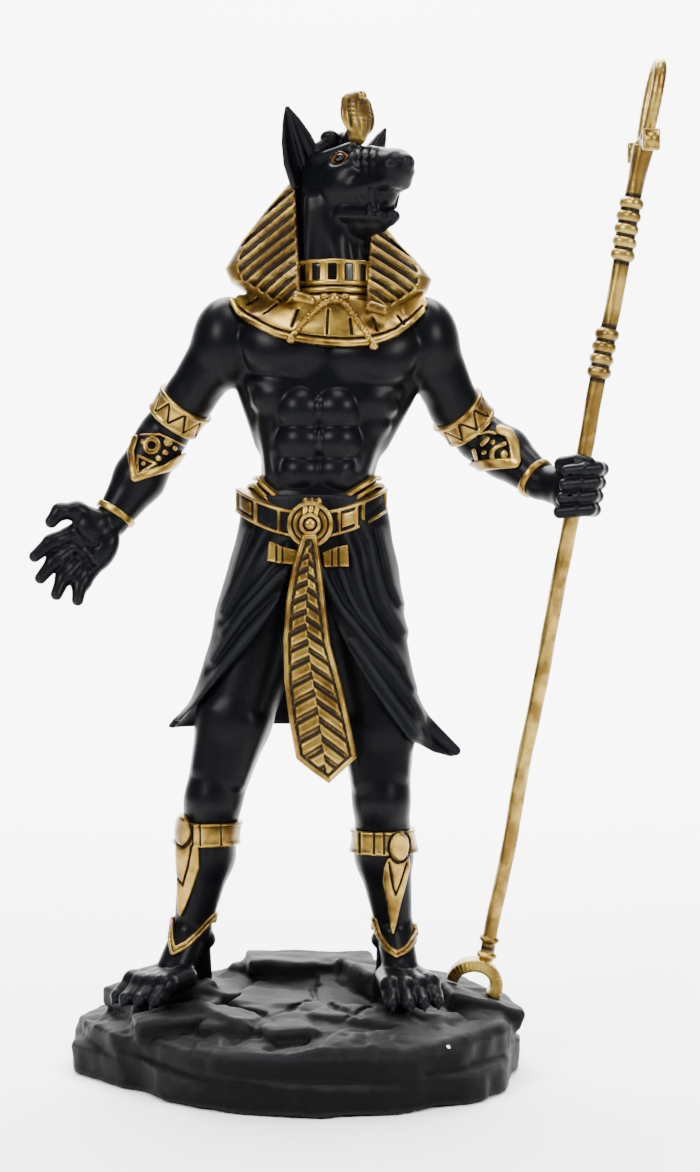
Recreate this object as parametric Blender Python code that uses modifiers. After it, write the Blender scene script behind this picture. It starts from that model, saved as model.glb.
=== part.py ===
"""A cast statue of a jackal-headed Anubis on its rock, and the ankh staff in its left fist.

Each casting starts as clay: closed shapes laid over each other. A voxel remesh joins them into one
skin, a smoothing pass rounds it, and a decimation brings it down to a light faceted solid. The fist
and the rock are then cut for the staff, with a small clearance all round it.
"""
import math
import random

import bmesh
import bpy
from mathutils import Matrix, Vector

# Driving dimensions, in metres
FIGURE_HEIGHT = 0.300       # from the soles to the top of the cobra on the brow
ROCK_WIDTH = 0.150
ROCK_DEPTH = 0.130
ROCK_HEIGHT = 0.024         # from the underside to the ledge that the feet stand on
STAFF_DIAMETER = 0.0048
BEAD_DIAMETER = 0.0074
ANKH_THICKNESS = 0.0050
FORK_THICKNESS = 0.0030
FORK_WIDTH = 0.0080
CLEARANCE = 0.0005          # between the staff and what it passes through

# The figure is drawn 300 units tall above its ledge, so its pose and proportions follow its height
UNIT = FIGURE_HEIGHT / 300.0

# How fine the clay is, and how many faces each part of it keeps
GRAIN = 0.0009
FINE_GRAIN = 0.0006
BODY_FACES = 5200
HEAD_FACES = 3200
STAFF_FACES = 1100

# Main joints of the figure, in its units: x to the viewer's right, y away from the viewer, z up
SHOULDERS = {"right": (-24, 4, 218), "left": (43, 4, 218)}
UPPER_ARMS = {"right": (-36.5, 9, 200), "left": (53, 10, 197)}
ELBOWS = {"right": (-46.0, 14, 187.5), "left": (62, 15, 187)}
FOREARMS = {"right": (-53.6, 11, 173), "left": (70, 10, 181.5)}
WRISTS = {"right": (-62.2, 8, 159.4), "left": (81, 1, 171.4)}
FIST = (91.5, -6.5, 168.5)
HIPS = {"right": (-6, 1, 138), "left": (17, 1, 138)}
THIGHS = {"right": (-21, -2, 92), "left": (27, -3, 90)}
KNEES = {"right": (-27.6, -5, 66), "left": (28, -7, 66)}
CALVES = {"right": (-30.5, 1, 47), "left": (29, 0, 47)}
ANKLES = {"right": (-35.2, 3, 22), "left": (32.5, 3, 22)}
TOES = {"right": (-52, -21, 4), "left": (38.5, -27, 4)}

# The head's own frame: its middle, how far it turns to the figure's left and how far it looks up
HEAD_MIDDLE = (12.6, 4, 272)
HEAD_YAW = math.radians(40)
HEAD_PITCH = math.radians(8)

# The staff runs straight from its foot to its top, through the fist
STAFF_FOOT = (63.6, 8, 10.3)
STAFF_TOP = (117.8, -22.1, 307.2)


def at(x, y, z):
    """The place of a point of the figure, given in its own units above the ledge."""
    return Vector((x * UNIT, y * UNIT, ROCK_HEIGHT + z * UNIT))


def head_axes():
    """The head's forward, left and up directions."""
    forward = Vector((
        math.sin(HEAD_YAW) * math.cos(HEAD_PITCH),
        -math.cos(HEAD_YAW) * math.cos(HEAD_PITCH),
        math.sin(HEAD_PITCH),
    ))
    left = Vector((math.cos(HEAD_YAW), math.sin(HEAD_YAW), 0.0))
    return forward, left, forward.cross(left)


HEAD_FORWARD, HEAD_LEFT, HEAD_UP = head_axes()
HEAD_TURN = Matrix((HEAD_FORWARD, HEAD_LEFT, HEAD_UP)).transposed()


def on_head(forward, left, up):
    """The place of a point given in the head's own frame, in units from its middle."""
    return at(*HEAD_MIDDLE) + (HEAD_FORWARD * forward + HEAD_LEFT * left + HEAD_UP * up) * UNIT


def along_staff(share):
    """A point on the staff's axis, from 0 at its foot to 1 at its top."""
    return at(*STAFF_FOOT).lerp(at(*STAFF_TOP), share)


def blend(levels, z):
    """Read a row of sizes at a height, from rows that start with their own height, top first."""
    if z >= levels[0][0]:
        return levels[0][1:]
    for upper, lower in zip(levels, levels[1:]):
        if z >= lower[0]:
            share = (z - lower[0]) / (upper[0] - lower[0])
            return [low + (high - low) * share for high, low in zip(upper[1:], lower[1:])]
    return levels[-1][1:]


def heights(top, bottom, step):
    """Heights from the top down to the bottom, about one step apart."""
    count = max(2, round((top - bottom) / step))
    return [top + (bottom - top) * index / count for index in range(count + 1)]


def oval(middle_x, middle_y, radius_x, radius_y, height_at, swell_at=None, sides=72):
    """A ring around the figure, whose height and swell may change with the angle."""
    ring = []
    for index in range(sides):
        angle = math.tau * index / sides
        swell = swell_at(angle) if swell_at else 0.0
        ring.append(at(
            middle_x + (radius_x + swell) * math.cos(angle),
            middle_y + (radius_y + swell) * math.sin(angle),
            height_at(angle),
        ))
    return ring


def shape_of(make, **options):
    """The points and faces of one of bmesh's own primitives."""
    form = bmesh.new()
    make(form, **options)
    form.verts.index_update()
    points = [vert.co.copy() for vert in form.verts]
    faces = [[vert.index for vert in face.verts] for face in form.faces]
    form.free()
    return points, faces


BALL = shape_of(bmesh.ops.create_icosphere, subdivisions=3, radius=1.0)
CUBE = shape_of(bmesh.ops.create_cube, size=1.0)


class Clay:
    """Closed shapes laid over each other, which become one casting."""

    def __init__(self):
        self.points = []
        self.faces = []

    def lay(self, shape, place):
        """Add a closed shape at its place."""
        points, faces = shape
        first = len(self.points)
        self.points.extend(place @ point for point in points)
        self.faces.extend([first + index for index in face] for face in faces)

    def ball(self, middle, radii, turn=Matrix.Identity(3)):
        """An egg of three radii, in units."""
        size = Matrix.Diagonal((radii[0] * UNIT, radii[1] * UNIT, radii[2] * UNIT, 1.0))
        self.lay(BALL, Matrix.Translation(middle) @ turn.to_4x4() @ size)

    def cone(self, start, start_radius, end, end_radius):
        """A tapered cylinder between two points, with radii in units."""
        along = end - start
        turn = along.to_track_quat("Z", "Y").to_matrix().to_4x4()
        shape = shape_of(
            bmesh.ops.create_cone, cap_ends=True, segments=24, radius1=start_radius * UNIT,
            radius2=end_radius * UNIT, depth=along.length)
        self.lay(shape, Matrix.Translation((start + end) / 2) @ turn)

    def chain(self, *stations):
        """Round limbs through a row of (point, radius) stations."""
        for point, radius in stations:
            self.ball(point, [radius] * 3)
        for (start, start_radius), (end, end_radius) in zip(stations, stations[1:]):
            self.cone(start, start_radius, end, end_radius)

    def limb(self, start, start_radius, end, end_radius):
        """A round limb between two balls, with radii in units."""
        self.chain((start, start_radius), (end, end_radius))

    def block(self, middle, size, turn=Matrix.Identity(3)):
        """A box of three sizes, in units."""
        scale = Matrix.Diagonal((size[0] * UNIT, size[1] * UNIT, size[2] * UNIT, 1.0))
        self.lay(CUBE, Matrix.Translation(middle) @ turn.to_4x4() @ scale)

    def disc(self, middle, radius, thickness, axis):
        """A flat round plate, with sizes in units."""
        half = axis * (thickness * UNIT / 2)
        self.cone(middle - half, radius, middle + half, radius)

    def loft(self, rings):
        """A closed skin over rings of equal count, capped at both ends."""
        count = len(rings[0])
        faces = [list(range(count))[::-1], [count * (len(rings) - 1) + index for index in range(count)]]
        for row in range(len(rings) - 1):
            for index in range(count):
                here = row * count + index
                after = row * count + (index + 1) % count
                faces.append([here, after, after + count, here + count])
        self.lay(([point for ring in rings for point in ring], faces), Matrix.Identity(4))

    def cast(self, name, material, grain, passes, face_count, collection):
        """Turn the clay into one light closed solid."""
        body = bpy.data.objects.new(name, bpy.data.meshes.new(name))
        body.data.from_pydata(self.points, [], self.faces)
        collection.objects.link(body)
        skin = body.modifiers.new("Skin", "REMESH")
        skin.mode = "VOXEL"
        skin.voxel_size = grain
        rounding = body.modifiers.new("Rounding", "SMOOTH")
        rounding.iterations = passes
        apply_modifiers(body)
        lighter = body.modifiers.new("Lighter", "DECIMATE")
        lighter.use_collapse_triangulate = True
        lighter.ratio = min(1.0, face_count / (2.0 * len(body.data.polygons)))
        apply_modifiers(body)
        body.data.materials.clear()
        body.data.materials.append(material)
        return body


def apply_modifiers(body):
    """Keep the object's evaluated mesh as its own."""
    bpy.context.view_layer.update()
    evaluated = body.evaluated_get(bpy.context.evaluated_depsgraph_get())
    finished = bpy.data.meshes.new_from_object(evaluated)
    body.modifiers.clear()
    body.data = finished


def finish(name, color, metallic, roughness):
    """A Principled material."""
    material = bpy.data.materials.new(name)
    material.use_nodes = True
    shader = material.node_tree.nodes["Principled BSDF"]
    shader.inputs["Base Color"].default_value = (*color, 1.0)
    shader.inputs["Metallic"].default_value = metallic
    shader.inputs["Roughness"].default_value = roughness
    return material


def add_torso(clay):
    """The trunk with its chest, belly and back."""
    levels = [
        # height, middle x, half width, middle y, half depth
        (240, 12.4, 13.0, 4.5, 11.0), (230, 11.8, 23.0, 4.5, 12.5), (221, 11.0, 29.0, 4.0, 15.0),
        (211, 10.3, 30.3, 3.5, 16.0), (204, 9.7, 30.0, 3.0, 15.5), (197, 9.6, 28.8, 2.5, 14.5),
        (188, 8.8, 24.8, 2.0, 13.3), (180, 7.8, 20.8, 2.0, 12.6), (174, 7.0, 19.8, 2.0, 13.0),
        (166, 5.6, 22.5, 2.0, 15.0), (150, 5.0, 24.0, 2.0, 16.0), (135, 5.0, 21.0, 2.0, 14.0),
    ]
    rings = []
    for z in heights(240, 135, 2.0):
        middle_x, half_width, middle_y, half_depth = blend(levels, z)
        rings.append(oval(middle_x, middle_y, half_width, half_depth, lambda angle: z))
    clay.loft(rings)
    for side in (-1, 1):
        clay.ball(at(10.8 + 15.3 * side, -5.0, 213.5), (15.5, 9.8, 10.5))
        clay.ball(at(10.0 + 15.0 * side, 11.5, 213.0), (12.0, 8.0, 13.0))
        clay.limb(at(10.0 + 24.0 * side, 5.0, 209), 7.5, at(8.5 + 17.0 * side, 4.0, 184), 4.5)
        clay.limb(at(8.0 + 14.0 * side, -4.5, 186), 5.0, at(6.5 + 11.0 * side, -7.5, 174), 4.5)
        clay.limb(at(12.4 + 6.0 * side, 7.0, 242), 7.5, at(12.0 + 25.0 * side, 6.0, 226), 8.0)
        for row in range(3):
            clay.ball(at(8.6 - 0.5 * row + 5.0 * side, -10.8 + 0.5 * row, 196.5 - 7.4 * row),
                      (5.5, 4.2, 4.3))


def add_neck(clay):
    """The thick neck, its two cords and the choker."""
    clay.limb(at(12.6, 5, 232), 13.0, at(12.6, 4.5, 262), 12.2)
    clay.limb(at(9.0, -7.0, 240), 2.4, at(7.0, -6.0, 262), 2.4)
    clay.limb(at(15.0, -7.5, 240), 2.4, at(14.0, -6.5, 262), 2.4)
    for step in range(4):
        z = 235.5 + 2.6 * step
        clay.loft([oval(12.4, 4.5, 13.8, 13.8, lambda angle, z=z + lift: z) for lift in (2.0, 0.0)])


def add_head(clay):
    """The jackal's head with its jaws wide open, in the head's own frame."""
    clay.ball(on_head(0.0, 0, 0.5), (13.0, 11.8, 12.0), HEAD_TURN)
    clay.limb(on_head(11, 0, 1.5), 8.2, on_head(32, 0, -2.6), 5.4)
    clay.ball(on_head(36.3, 0, -4.2), (2.8, 3.6, 3.4), HEAD_TURN)
    clay.limb(on_head(4, 0, -9), 8.5, on_head(13, 0, -15), 6.0)
    clay.chain((on_head(13, 0, -16), 5.4), (on_head(20, 0, -18.6), 4.0), (on_head(26.3, 0, -19.2), 2.9))
    clay.limb(on_head(10, 0, -10.5), 4.0, on_head(22.5, 0, -14.8), 2.4)
    for side in (-1, 1):
        clay.ball(on_head(8.5, 6.3 * side, -3.5), (9.0, 5.8, 7.5), HEAD_TURN)
        clay.limb(on_head(5, 8.3 * side, 5.8), 2.6, on_head(15.5, 4.8 * side, 6.4), 2.3)
        clay.ball(on_head(12.2, 7.6 * side, 3.4), (2.6, 1.8, 1.9), HEAD_TURN)
        clay.limb(on_head(15, 5.8 * side, -5.2), 2.8, on_head(31.5, 3.6 * side, -7.0), 2.8)
        clay.limb(on_head(29.5, 3.9 * side, -8.0), 1.5, on_head(29.0, 4.1 * side, -12.3), 0.8)
        clay.limb(on_head(26.2, 2.3 * side, -18.0), 1.3, on_head(26.6, 2.7 * side, -13.8), 0.8)
        clay.limb(on_head(11, 6.3 * side, -10), 2.8, on_head(23.5, 3.2 * side, -17.2), 1.9)
    clay.limb(on_head(33.4, 0, -7.5), 3.4, on_head(33.0, 0, -8.6), 2.4)
    clay.chain((on_head(4.6, -8.0, 10.3), 2.5), (on_head(6.6, 0, 12.4), 2.6), (on_head(4.6, 8.0, 10.3), 2.5))


def add_ears(clay):
    """Two tall hollow ears, as crescents that taper to a point."""
    levels = [(1.0, 0.5, 0.4), (0.82, 2.7, 1.6), (0.55, 5.2, 2.8), (0.25, 6.6, 3.6), (0.0, 6.4, 4.2)]
    arc_steps = 14
    opening = math.radians(118)
    for side in (-1, 1):
        root = on_head(-3.0, 9.5 * side, 3.0)
        tip = on_head(1.5, 19.0 * side, 22.5)
        upright = (tip - root).normalized()
        facing = (HEAD_FORWARD + HEAD_LEFT * side * 0.55).normalized()
        across = upright.cross(facing).normalized()
        outward = across.cross(upright).normalized()
        rings = []
        for share in heights(1.0, 0.0, 0.1):
            half_width, depth = blend(levels, share)
            middle = root.lerp(tip, share)
            arc = [opening * (2 * step / arc_steps - 1) for step in range(arc_steps + 1)]
            outer = [(half_width * math.sin(a), -depth * math.cos(a)) for a in arc]
            inner = [(0.72 * half_width * math.sin(a), 0.3 * depth - 0.62 * depth * math.cos(a))
                     for a in reversed(arc)]
            rings.append([middle + (across * u + outward * v) * UNIT for u, v in outer + inner])
        clay.loft(rings)


def add_cobra(clay):
    """The cobra that rears on the brow, with its spread hood."""
    clay.limb(on_head(10.5, 0, 8), 3.4, on_head(13.4, 0, 15), 3.0)
    clay.ball(on_head(14.4, 0, 19.6), (2.7, 6.3, 6.8), HEAD_TURN)
    clay.block(on_head(15.0, 0, 22.0), (3.4, 9.4, 6.0), HEAD_TURN)
    clay.limb(on_head(14.6, 0, 24.0), 2.6, on_head(17.6, 0, 24.2), 1.9)
    for row in range(3):
        clay.limb(on_head(16.4, -3.4, 15.5 + 2.7 * row), 0.9, on_head(16.4, 3.4, 15.5 + 2.7 * row), 0.9)


def add_headdress(clay):
    """The striped cloth that falls from behind the ears to the shoulders, and its tail."""
    levels = [
        (285, 11.5, 5.0, 8.0, 4.0), (279, 11.0, 10.5, 8.5, 8.5), (272, 10.7, 13.3, 8.5, 10.5),
        (263.7, 10.6, 20.6, 8.5, 11.5), (252.6, 10.5, 29.0, 8.0, 12.0), (243, 10.5, 34.5, 7.0, 12.5),
        (237, 10.7, 29.5, 5.5, 14.5), (231, 11.0, 21.0, 4.0, 15.0), (226, 11.0, 16.0, 4.0, 14.0),
    ]
    stripe_pitch = 4.2
    stripe_depth = 2.3
    stripe_fall = 0.55
    face_half_width = 11.6
    face_depth = 5.0
    rings = []
    for z in heights(285, 226, 0.6):
        middle_x, half_width, middle_y, half_depth = blend(levels, z)

        def stripe(angle, z=z, half_width=half_width):
            beside = abs(half_width * math.cos(angle))
            ridge = abs(math.sin(math.pi * (z + stripe_fall * beside) / stripe_pitch)) ** 0.7
            parted = math.sin(angle) < 0 and beside < face_half_width
            return -face_depth if parted else stripe_depth * (ridge - 0.5)

        rings.append(oval(middle_x, middle_y, half_width, half_depth, lambda angle: z, stripe, 120))
    clay.loft(rings)
    tail_rings = 8
    clay.limb(at(11, 17, 238), 6.5, at(11, 19, 226), 4.6)
    for step in range(tail_rings):
        clay.ball(at(11, 19.3, 226 - 3.6 * step), (4.4, 3.2, 2.3))
    for side in (-1, 1):
        start = at(11.2 + 6.6 * side, -12.0, 232.5)
        clay.limb(start, 2.0, at(11.2 + 14.0 * side, -13.5, 218.5), 2.3)
        clay.ball(start, (3.4, 2.6, 3.0))


def add_collar(clay):
    """The broad collar, a plate over the chest with a raised rim and radial ribs."""
    steps = 40
    sweep = math.radians(200)
    rib_every = 4

    def edge(angle, share):
        half_width = 13.5 + (32.5 - 13.5) * share
        half_depth = 12.5 + (20.0 - 12.5) * share
        drop = 236 - share * (20.0 + 1.5 * math.cos(2 * angle)) + 7.5 * share * math.sin(abs(angle)) ** 2
        return at(11.2 + half_width * math.sin(angle), 4.0 - half_depth * math.cos(angle), drop)

    angles = [sweep * (step / steps - 0.5) for step in range(steps + 1)]
    thickness = Vector((0.0, 4.5 * UNIT, -2.0 * UNIT))
    rings = []
    for angle in angles:
        inner = edge(angle, 0.0)
        outer = edge(angle, 1.0)
        middle = edge(angle, 0.55) + Vector((0.0, -1.2 * UNIT, 0.6 * UNIT))
        rings.append([inner, middle, outer, outer + thickness, middle + thickness, inner + thickness])
    clay.loft(rings)
    for first, second in zip(angles, angles[1:]):
        clay.limb(edge(first, 1.0), 1.5, edge(second, 1.0), 1.5)
    for angle in angles[2:-2:rib_every]:
        clay.limb(edge(angle, 0.45) + Vector((0, -1.1 * UNIT, 0)), 0.9,
                  edge(angle, 0.95) + Vector((0, -0.9 * UNIT, 0)), 1.1)


def add_arm(clay, side):
    """One arm with its shoulder cap, armband, elbow guard and wrist band."""
    shoulder = at(*SHOULDERS[side])
    middle = at(*UPPER_ARMS[side])
    elbow = at(*ELBOWS[side])
    forearm = at(*FOREARMS[side])
    wrist = at(*WRISTS[side])
    out = -1 if side == "right" else 1
    clay.ball(shoulder + at(out * -1.0, 0, 0) - at(0, 0, 0), (12.4, 12.6, 15.6))
    clay.chain((shoulder, 10.5), (middle, 8.7), (elbow, 8.5), (forearm, 9.0), (wrist, 6.1))
    band_start = middle.lerp(elbow, 0.12)
    band_end = middle.lerp(elbow, 0.62)
    clay.limb(band_start, 9.3, band_end, 8.7)
    axis = (elbow - middle).normalized()
    for share in (0.08, 0.68):
        clay.disc(middle.lerp(elbow, share), 9.9 - share, 2.2, axis)
    clay.ball(elbow + at(out * 1.5, 2.5, 1.0) - at(0, 0, 0), (7.8, 8.0, 6.5))
    clay.disc(forearm.lerp(wrist, 0.88), 7.2, 3.4, (wrist - forearm).normalized())


def add_open_hand(clay):
    """The right hand, open with its fingers spread and bent a little."""
    wrist = at(*WRISTS["right"])
    palm = at(-69.5, 4.5, 150.0)
    clay.limb(wrist, 5.6, palm.lerp(wrist, 0.35), 6.0)
    clay.ball(palm, (7.0, 4.2, 8.4), Matrix.Rotation(math.radians(35), 3, "Y"))
    clay.chain((at(-67, 4, 158), 3.6), (at(-73.5, 2, 162.5), 2.8), (at(-79, 0, 161.8), 2.3),
               (at(-82.5, -2, 157.2), 1.5))
    fingers = [
        ((-75.0, 3.5, 154.0), (-82.5, 0.5, 151.8), (-87.0, -2.0, 146.2)),
        ((-74.5, 3.5, 149.0), (-81.5, 0.0, 145.2), (-85.0, -2.8, 139.0)),
        ((-73.0, 3.5, 144.6), (-78.6, 0.0, 139.6), (-79.7, -3.0, 133.6)),
        ((-69.5, 4.0, 142.2), (-73.2, 0.8, 136.8), (-72.7, -2.0, 131.6)),
    ]
    for root, joint, tip in fingers:
        clay.chain((at(*root), 2.9), (at(*joint), 2.4), (at(*tip), 1.5))


def add_fist(clay):
    """The left hand, closed around the staff."""
    wrist = at(*WRISTS["left"])
    fist = at(*FIST)
    clay.limb(wrist, 5.8, wrist.lerp(fist, 0.5), 6.6)
    clay.ball(fist, (8.4, 7.6, 9.2))
    staff_axis = (at(*STAFF_TOP) - at(*STAFF_FOOT)).normalized()
    for finger in range(4):
        drop = staff_axis * UNIT * (6.3 - 4.5 * finger)
        outer = fist + at(7.2, -4.2, 0) - at(0, 0, 0) + drop
        front = fist + at(1.5, -9.0, -0.5) - at(0, 0, 0) + drop
        inner = fist + at(-4.0, -7.6, -0.8) - at(0, 0, 0) + drop
        clay.chain((outer, 2.5), (front, 2.6), (inner, 2.3))
    clay.chain((fist + at(-4, -2, 8) - at(0, 0, 0), 3.0), (fist + at(3.5, -6, 9.2) - at(0, 0, 0), 2.4))


def add_belt(clay):
    """The belt, which dips to the round buckle, and the gold tabs beside it."""

    def height(angle):
        front = max(0.0, -math.sin(angle))
        return 167.5 - 8.0 * front ** 3

    for drop, reach in ((3.6, 1.4), (-0.2, 0.9), (-4.2, 1.6)):
        clay.loft([
            oval(4.9, 1.0, 23.4 + reach, 16.8 + reach, lambda angle, lift=lift: height(angle) + lift)
            for lift in (drop + 1.6, drop - 1.8)
        ])
    toward = Vector((0, -1, 0))
    buckle = at(4.8, -18.5, 156.8)
    clay.disc(buckle, 7.6, 6.0, toward)
    clay.disc(buckle + toward * 3.2 * UNIT, 3.8, 2.4, toward)
    clay.block(buckle + at(1.0, 0.5, 7.4) - at(0, 0, 0), (5.2, 5.0, 5.0))
    for x in (-7.6, 13.0):
        clay.block(at(x, -17.0, 148.6), (7.6, 4.0, 7.4))
        clay.block(at(x, -18.2, 148.6), (5.0, 4.0, 4.6))


def kilt_corner(angle, toward):
    """How near an angle is to the corner of cloth that flies out at one side, from 0 to 1."""
    turn = (angle - toward + math.pi) % math.tau - math.pi
    return math.exp(-(turn / math.radians(17)) ** 2)


def kilt_hem(angle):
    """The height of the kilt's hem, high at the front where the panels part."""
    beside = abs(math.cos(angle))
    front_rise = 43.0 * (1 - beside ** 1.5) if math.sin(angle) < 0 else 0.0
    return 90.0 + front_rise - 9.0 * kilt_corner(angle, 0.0)


def add_kilt(clay):
    """The pleated kilt: a skirt whose hem dips to a point at each side."""
    levels = [
        (166, 4.9, 24.5, 1.5, 17.0), (143, 5.2, 29.5, 1.0, 19.5), (125, 3.9, 32.6, 1.0, 20.0),
        (110, 2.6, 34.0, 2.0, 21.0), (98, 1.8, 36.0, 2.5, 21.5), (90, 1.6, 38.0, 3.0, 21.5),
    ]
    pleats = 15
    rows = 40

    def skin(share, inset=0.0, lift=0.0):
        ring = []
        sides = 132
        for index in range(sides):
            angle = math.tau * index / sides
            z = 166 + (kilt_hem(angle) - 166) * share
            middle_x, half_width, middle_y, half_depth = blend(levels, z)
            depth = 0.6 + 2.6 * share
            fold = depth * abs(math.sin(pleats * (angle + 0.25 * share * math.cos(angle)) / 2)) - depth / 2
            flare = 14.0 * kilt_corner(angle, 0.0) + 6.0 * kilt_corner(angle, math.pi)
            swell = fold - inset + flare * share ** 5
            ring.append(at(
                middle_x + (half_width + swell) * math.cos(angle),
                middle_y + (half_depth + swell) * math.sin(angle),
                z + lift,
            ))
        return ring

    outside = [skin(row / rows) for row in range(rows + 1)]
    inside = [skin(1.0, 3.4), skin(1.0, 6.0, 6.0), skin(0.72, 12.0)]
    clay.loft(outside + inside)


def add_apron(clay):
    """The long stiff apron, a bordered plate that widens down to a blunt point."""
    levels = [
        # height, middle x, half width, front
        (154, 4.6, 2.8, -22.5), (143.6, 4.2, 4.6, -23.2), (135.5, 3.4, 6.0, -23.8),
        (119, 3.5, 7.4, -24.8), (105, 5.6, 8.8, -25.6), (96, 7.6, 9.9, -26.0), (81.4, 10.0, 9.8, -26.5),
        (73.3, 10.9, 0.8, -26.5),
    ]
    rim = 1.2
    for inset, raise_by in ((0.0, 0.0), (2.4, -rim)):
        rings = []
        for z in heights(154 - inset, 73.3 + 1.6 * inset, 2.0):
            middle_x, half_width, front = blend(levels, z)
            half_width = max(0.4, half_width - inset)
            depth = 4.2 + (1.4 if z > 118 else 0.0) - raise_by
            start = front + rim + raise_by
            rings.append([at(middle_x + x, start + y, z) for x, y in (
                (-half_width, 0), (half_width, 0), (half_width, depth), (-half_width, depth))])
        clay.loft(rings)
    for row in range(9):
        z = 146.0 - 7.6 * row
        middle_x, half_width, front = blend(levels, z)
        low = at(middle_x, front + 0.2, z - 0.55 * half_width)
        for side in (-1, 1):
            high = at(middle_x + side * (half_width - 1.0), front + 0.2, z)
            clay.limb(low, 0.9, high, 0.9)


def add_leg(clay, side):
    """One leg with its knee, greave and clawed foot."""
    hip, thigh, knee = at(*HIPS[side]), at(*THIGHS[side]), at(*KNEES[side])
    calf, ankle, toe = at(*CALVES[side]), at(*ANKLES[side]), at(*TOES[side])
    out = -1 if side == "right" else 1
    origin = at(0, 0, 0)
    clay.chain((hip, 14.5), (thigh, 13.0), (knee, 10.2))
    clay.chain((knee, 9.6), (calf, 9.6), (ankle, 6.2))
    clay.ball(calf + at(0, 3.2, 1.0) - origin, (9.9, 8.4, 13.0))
    clay.ball(knee + at(0, -3.8, 0) - origin, (6.6, 5.6, 7.0))
    band = knee.lerp(calf, 0.55)
    leg_axis = (calf - knee).normalized()
    for lift, radius in ((3.0, 11.6), (0.0, 11.2), (-3.0, 11.9)):
        clay.disc(band + at(0, 0.6, lift) - origin, radius, 2.4, leg_axis)
    clay.ball(band + at(out * 9.5, -6.5, -1.0) - origin, (3.6, 3.6, 5.4))
    shin = band + at(out * 2.0, -9.0, -3.0) - origin
    tip = ankle + at(out * 2.5, -6.0, 4.0) - origin
    clay.limb(shin, 4.6, tip, 2.0)
    clay.disc(ankle + at(0, 0.4, 1.2) - origin, 7.8, 3.4, Vector((0, 0.25, 1)).normalized())
    heel = at(ANKLES[side][0] - out * 1.0, 10.0, 4.6)
    instep = ankle.lerp(toe, 0.32)
    instep.z = at(0, 0, 9.4).z
    clay.chain((ankle, 6.4), (instep, 6.4))
    clay.limb(ankle, 6.0, heel, 5.4)
    forward = (toe - ankle)
    forward.z = 0.0
    forward.normalize()
    sideways = Vector((-forward.y, forward.x, 0.0))
    for finger in range(4):
        spread = (finger - 1.5) * 4.4 * UNIT
        root = instep + sideways * spread * 0.72 + Vector((0, 0, -2.2 * UNIT))
        reach = 1.0 - 0.08 * abs(finger - 1.2)
        knuckle = instep.lerp(toe, 0.72 * reach) + sideways * spread + Vector((0, 0, 0.8 * UNIT))
        end = instep.lerp(toe, 1.12 * reach) + sideways * spread * 1.15
        end.z = at(0, 0, 2.4).z
        clay.chain((root, 4.2), (knuckle, 3.3), (end, 2.2))


def rock_edge(angle, height_share):
    """The rock's outline at a share of its height, with broken strata."""
    power = 2.25
    oval_reach = (abs(math.cos(angle)) ** power + abs(math.sin(angle)) ** power) ** (-1 / power)
    turn = (angle - math.radians(219) + math.pi) % math.tau - math.pi
    bite = 0.17 * math.exp(-(turn / math.radians(27)) ** 2)
    upper = height_share > 0.42
    broken = (
        0.020 * math.sin(3 * angle - 0.9 + 0.5 * upper)
        + 0.012 * math.sin(8 * angle + 0.6 + 3.0 * upper)
        + 0.008 * math.sin(17 * angle + 2.4)
    )
    shoulder = 0.30 * max(0.0, height_share - 0.72)
    scale = oval_reach * (1.0 - 0.02 * upper + broken) * (1.0 - shoulder - bite)
    return Vector((ROCK_WIDTH / 2 * scale * math.cos(angle), ROCK_DEPTH / 2 * scale * math.sin(angle), 0))


def add_slab(clay, x, y, z, width, depth, thick, turn_degrees, tilt_degrees):
    """A flat broken slab, with its place and width as shares of the rock's own sizes."""
    turn = Matrix.Rotation(math.radians(turn_degrees), 3, "Z") @ Matrix.Rotation(
        math.radians(tilt_degrees), 3, "Y")
    clay.block(Vector((ROCK_WIDTH / 2 * x, ROCK_DEPTH / 2 * y, ROCK_HEIGHT * z)),
               (width * ROCK_WIDTH / UNIT, depth * ROCK_DEPTH / UNIT, thick * ROCK_HEIGHT / UNIT), turn)


def add_rock(clay):
    """The rock: a broad flat-bottomed block in strata, with broken slabs on top."""
    sides = 120
    rings = []
    for share in (0.86, 0.74, 0.70, 0.46, 0.42, 0.38, 0.04, 0.0):
        ring = []
        for index in range(sides):
            angle = math.tau * index / sides
            point = rock_edge(angle, share)
            point.z = ROCK_HEIGHT * share * (1.0 + 0.10 * math.cos(angle))
            ring.append(point)
        rings.append(ring)
    rings.append([point - Vector((0, 0, 3 * GRAIN)) for point in rings[-1]])
    top = [Vector((0.8 * point.x, 0.8 * point.y, ROCK_HEIGHT * 0.96)) for point in rings[0]]
    clay.loft([top] + rings)
    order = random.Random(5)
    slab_count = 15
    for index in range(slab_count):
        angle = math.tau * index / slab_count
        reach = order.uniform(0.52, 0.70)
        add_slab(clay, reach * math.cos(angle), reach * math.sin(angle), order.uniform(0.80, 0.88),
                 order.uniform(0.16, 0.22), order.uniform(0.13, 0.18), 0.30,
                 math.degrees(angle) + order.uniform(-30, 30), order.uniform(2, 8))
    add_slab(clay, 0.02, 0.46, 1.10, 0.34, 0.26, 0.60, 8, -3)
    add_slab(clay, -0.22, 0.40, 1.16, 0.22, 0.26, 0.44, 40, 4)
    add_slab(clay, 0.20, 0.30, 1.12, 0.24, 0.22, 0.40, -25, 5)
    add_slab(clay, -0.62, 0.10, 0.98, 0.20, 0.24, 0.30, 30, -8)
    add_slab(clay, 0.52, 0.28, 0.98, 0.30, 0.26, 0.36, 20, 12)
    add_slab(clay, 0.80, 0.10, 0.86, 0.18, 0.26, 0.30, 10, 18)
    add_slab(clay, 0.05, -0.05, 0.96, 0.30, 0.26, 0.22, -12, 2)


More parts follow.
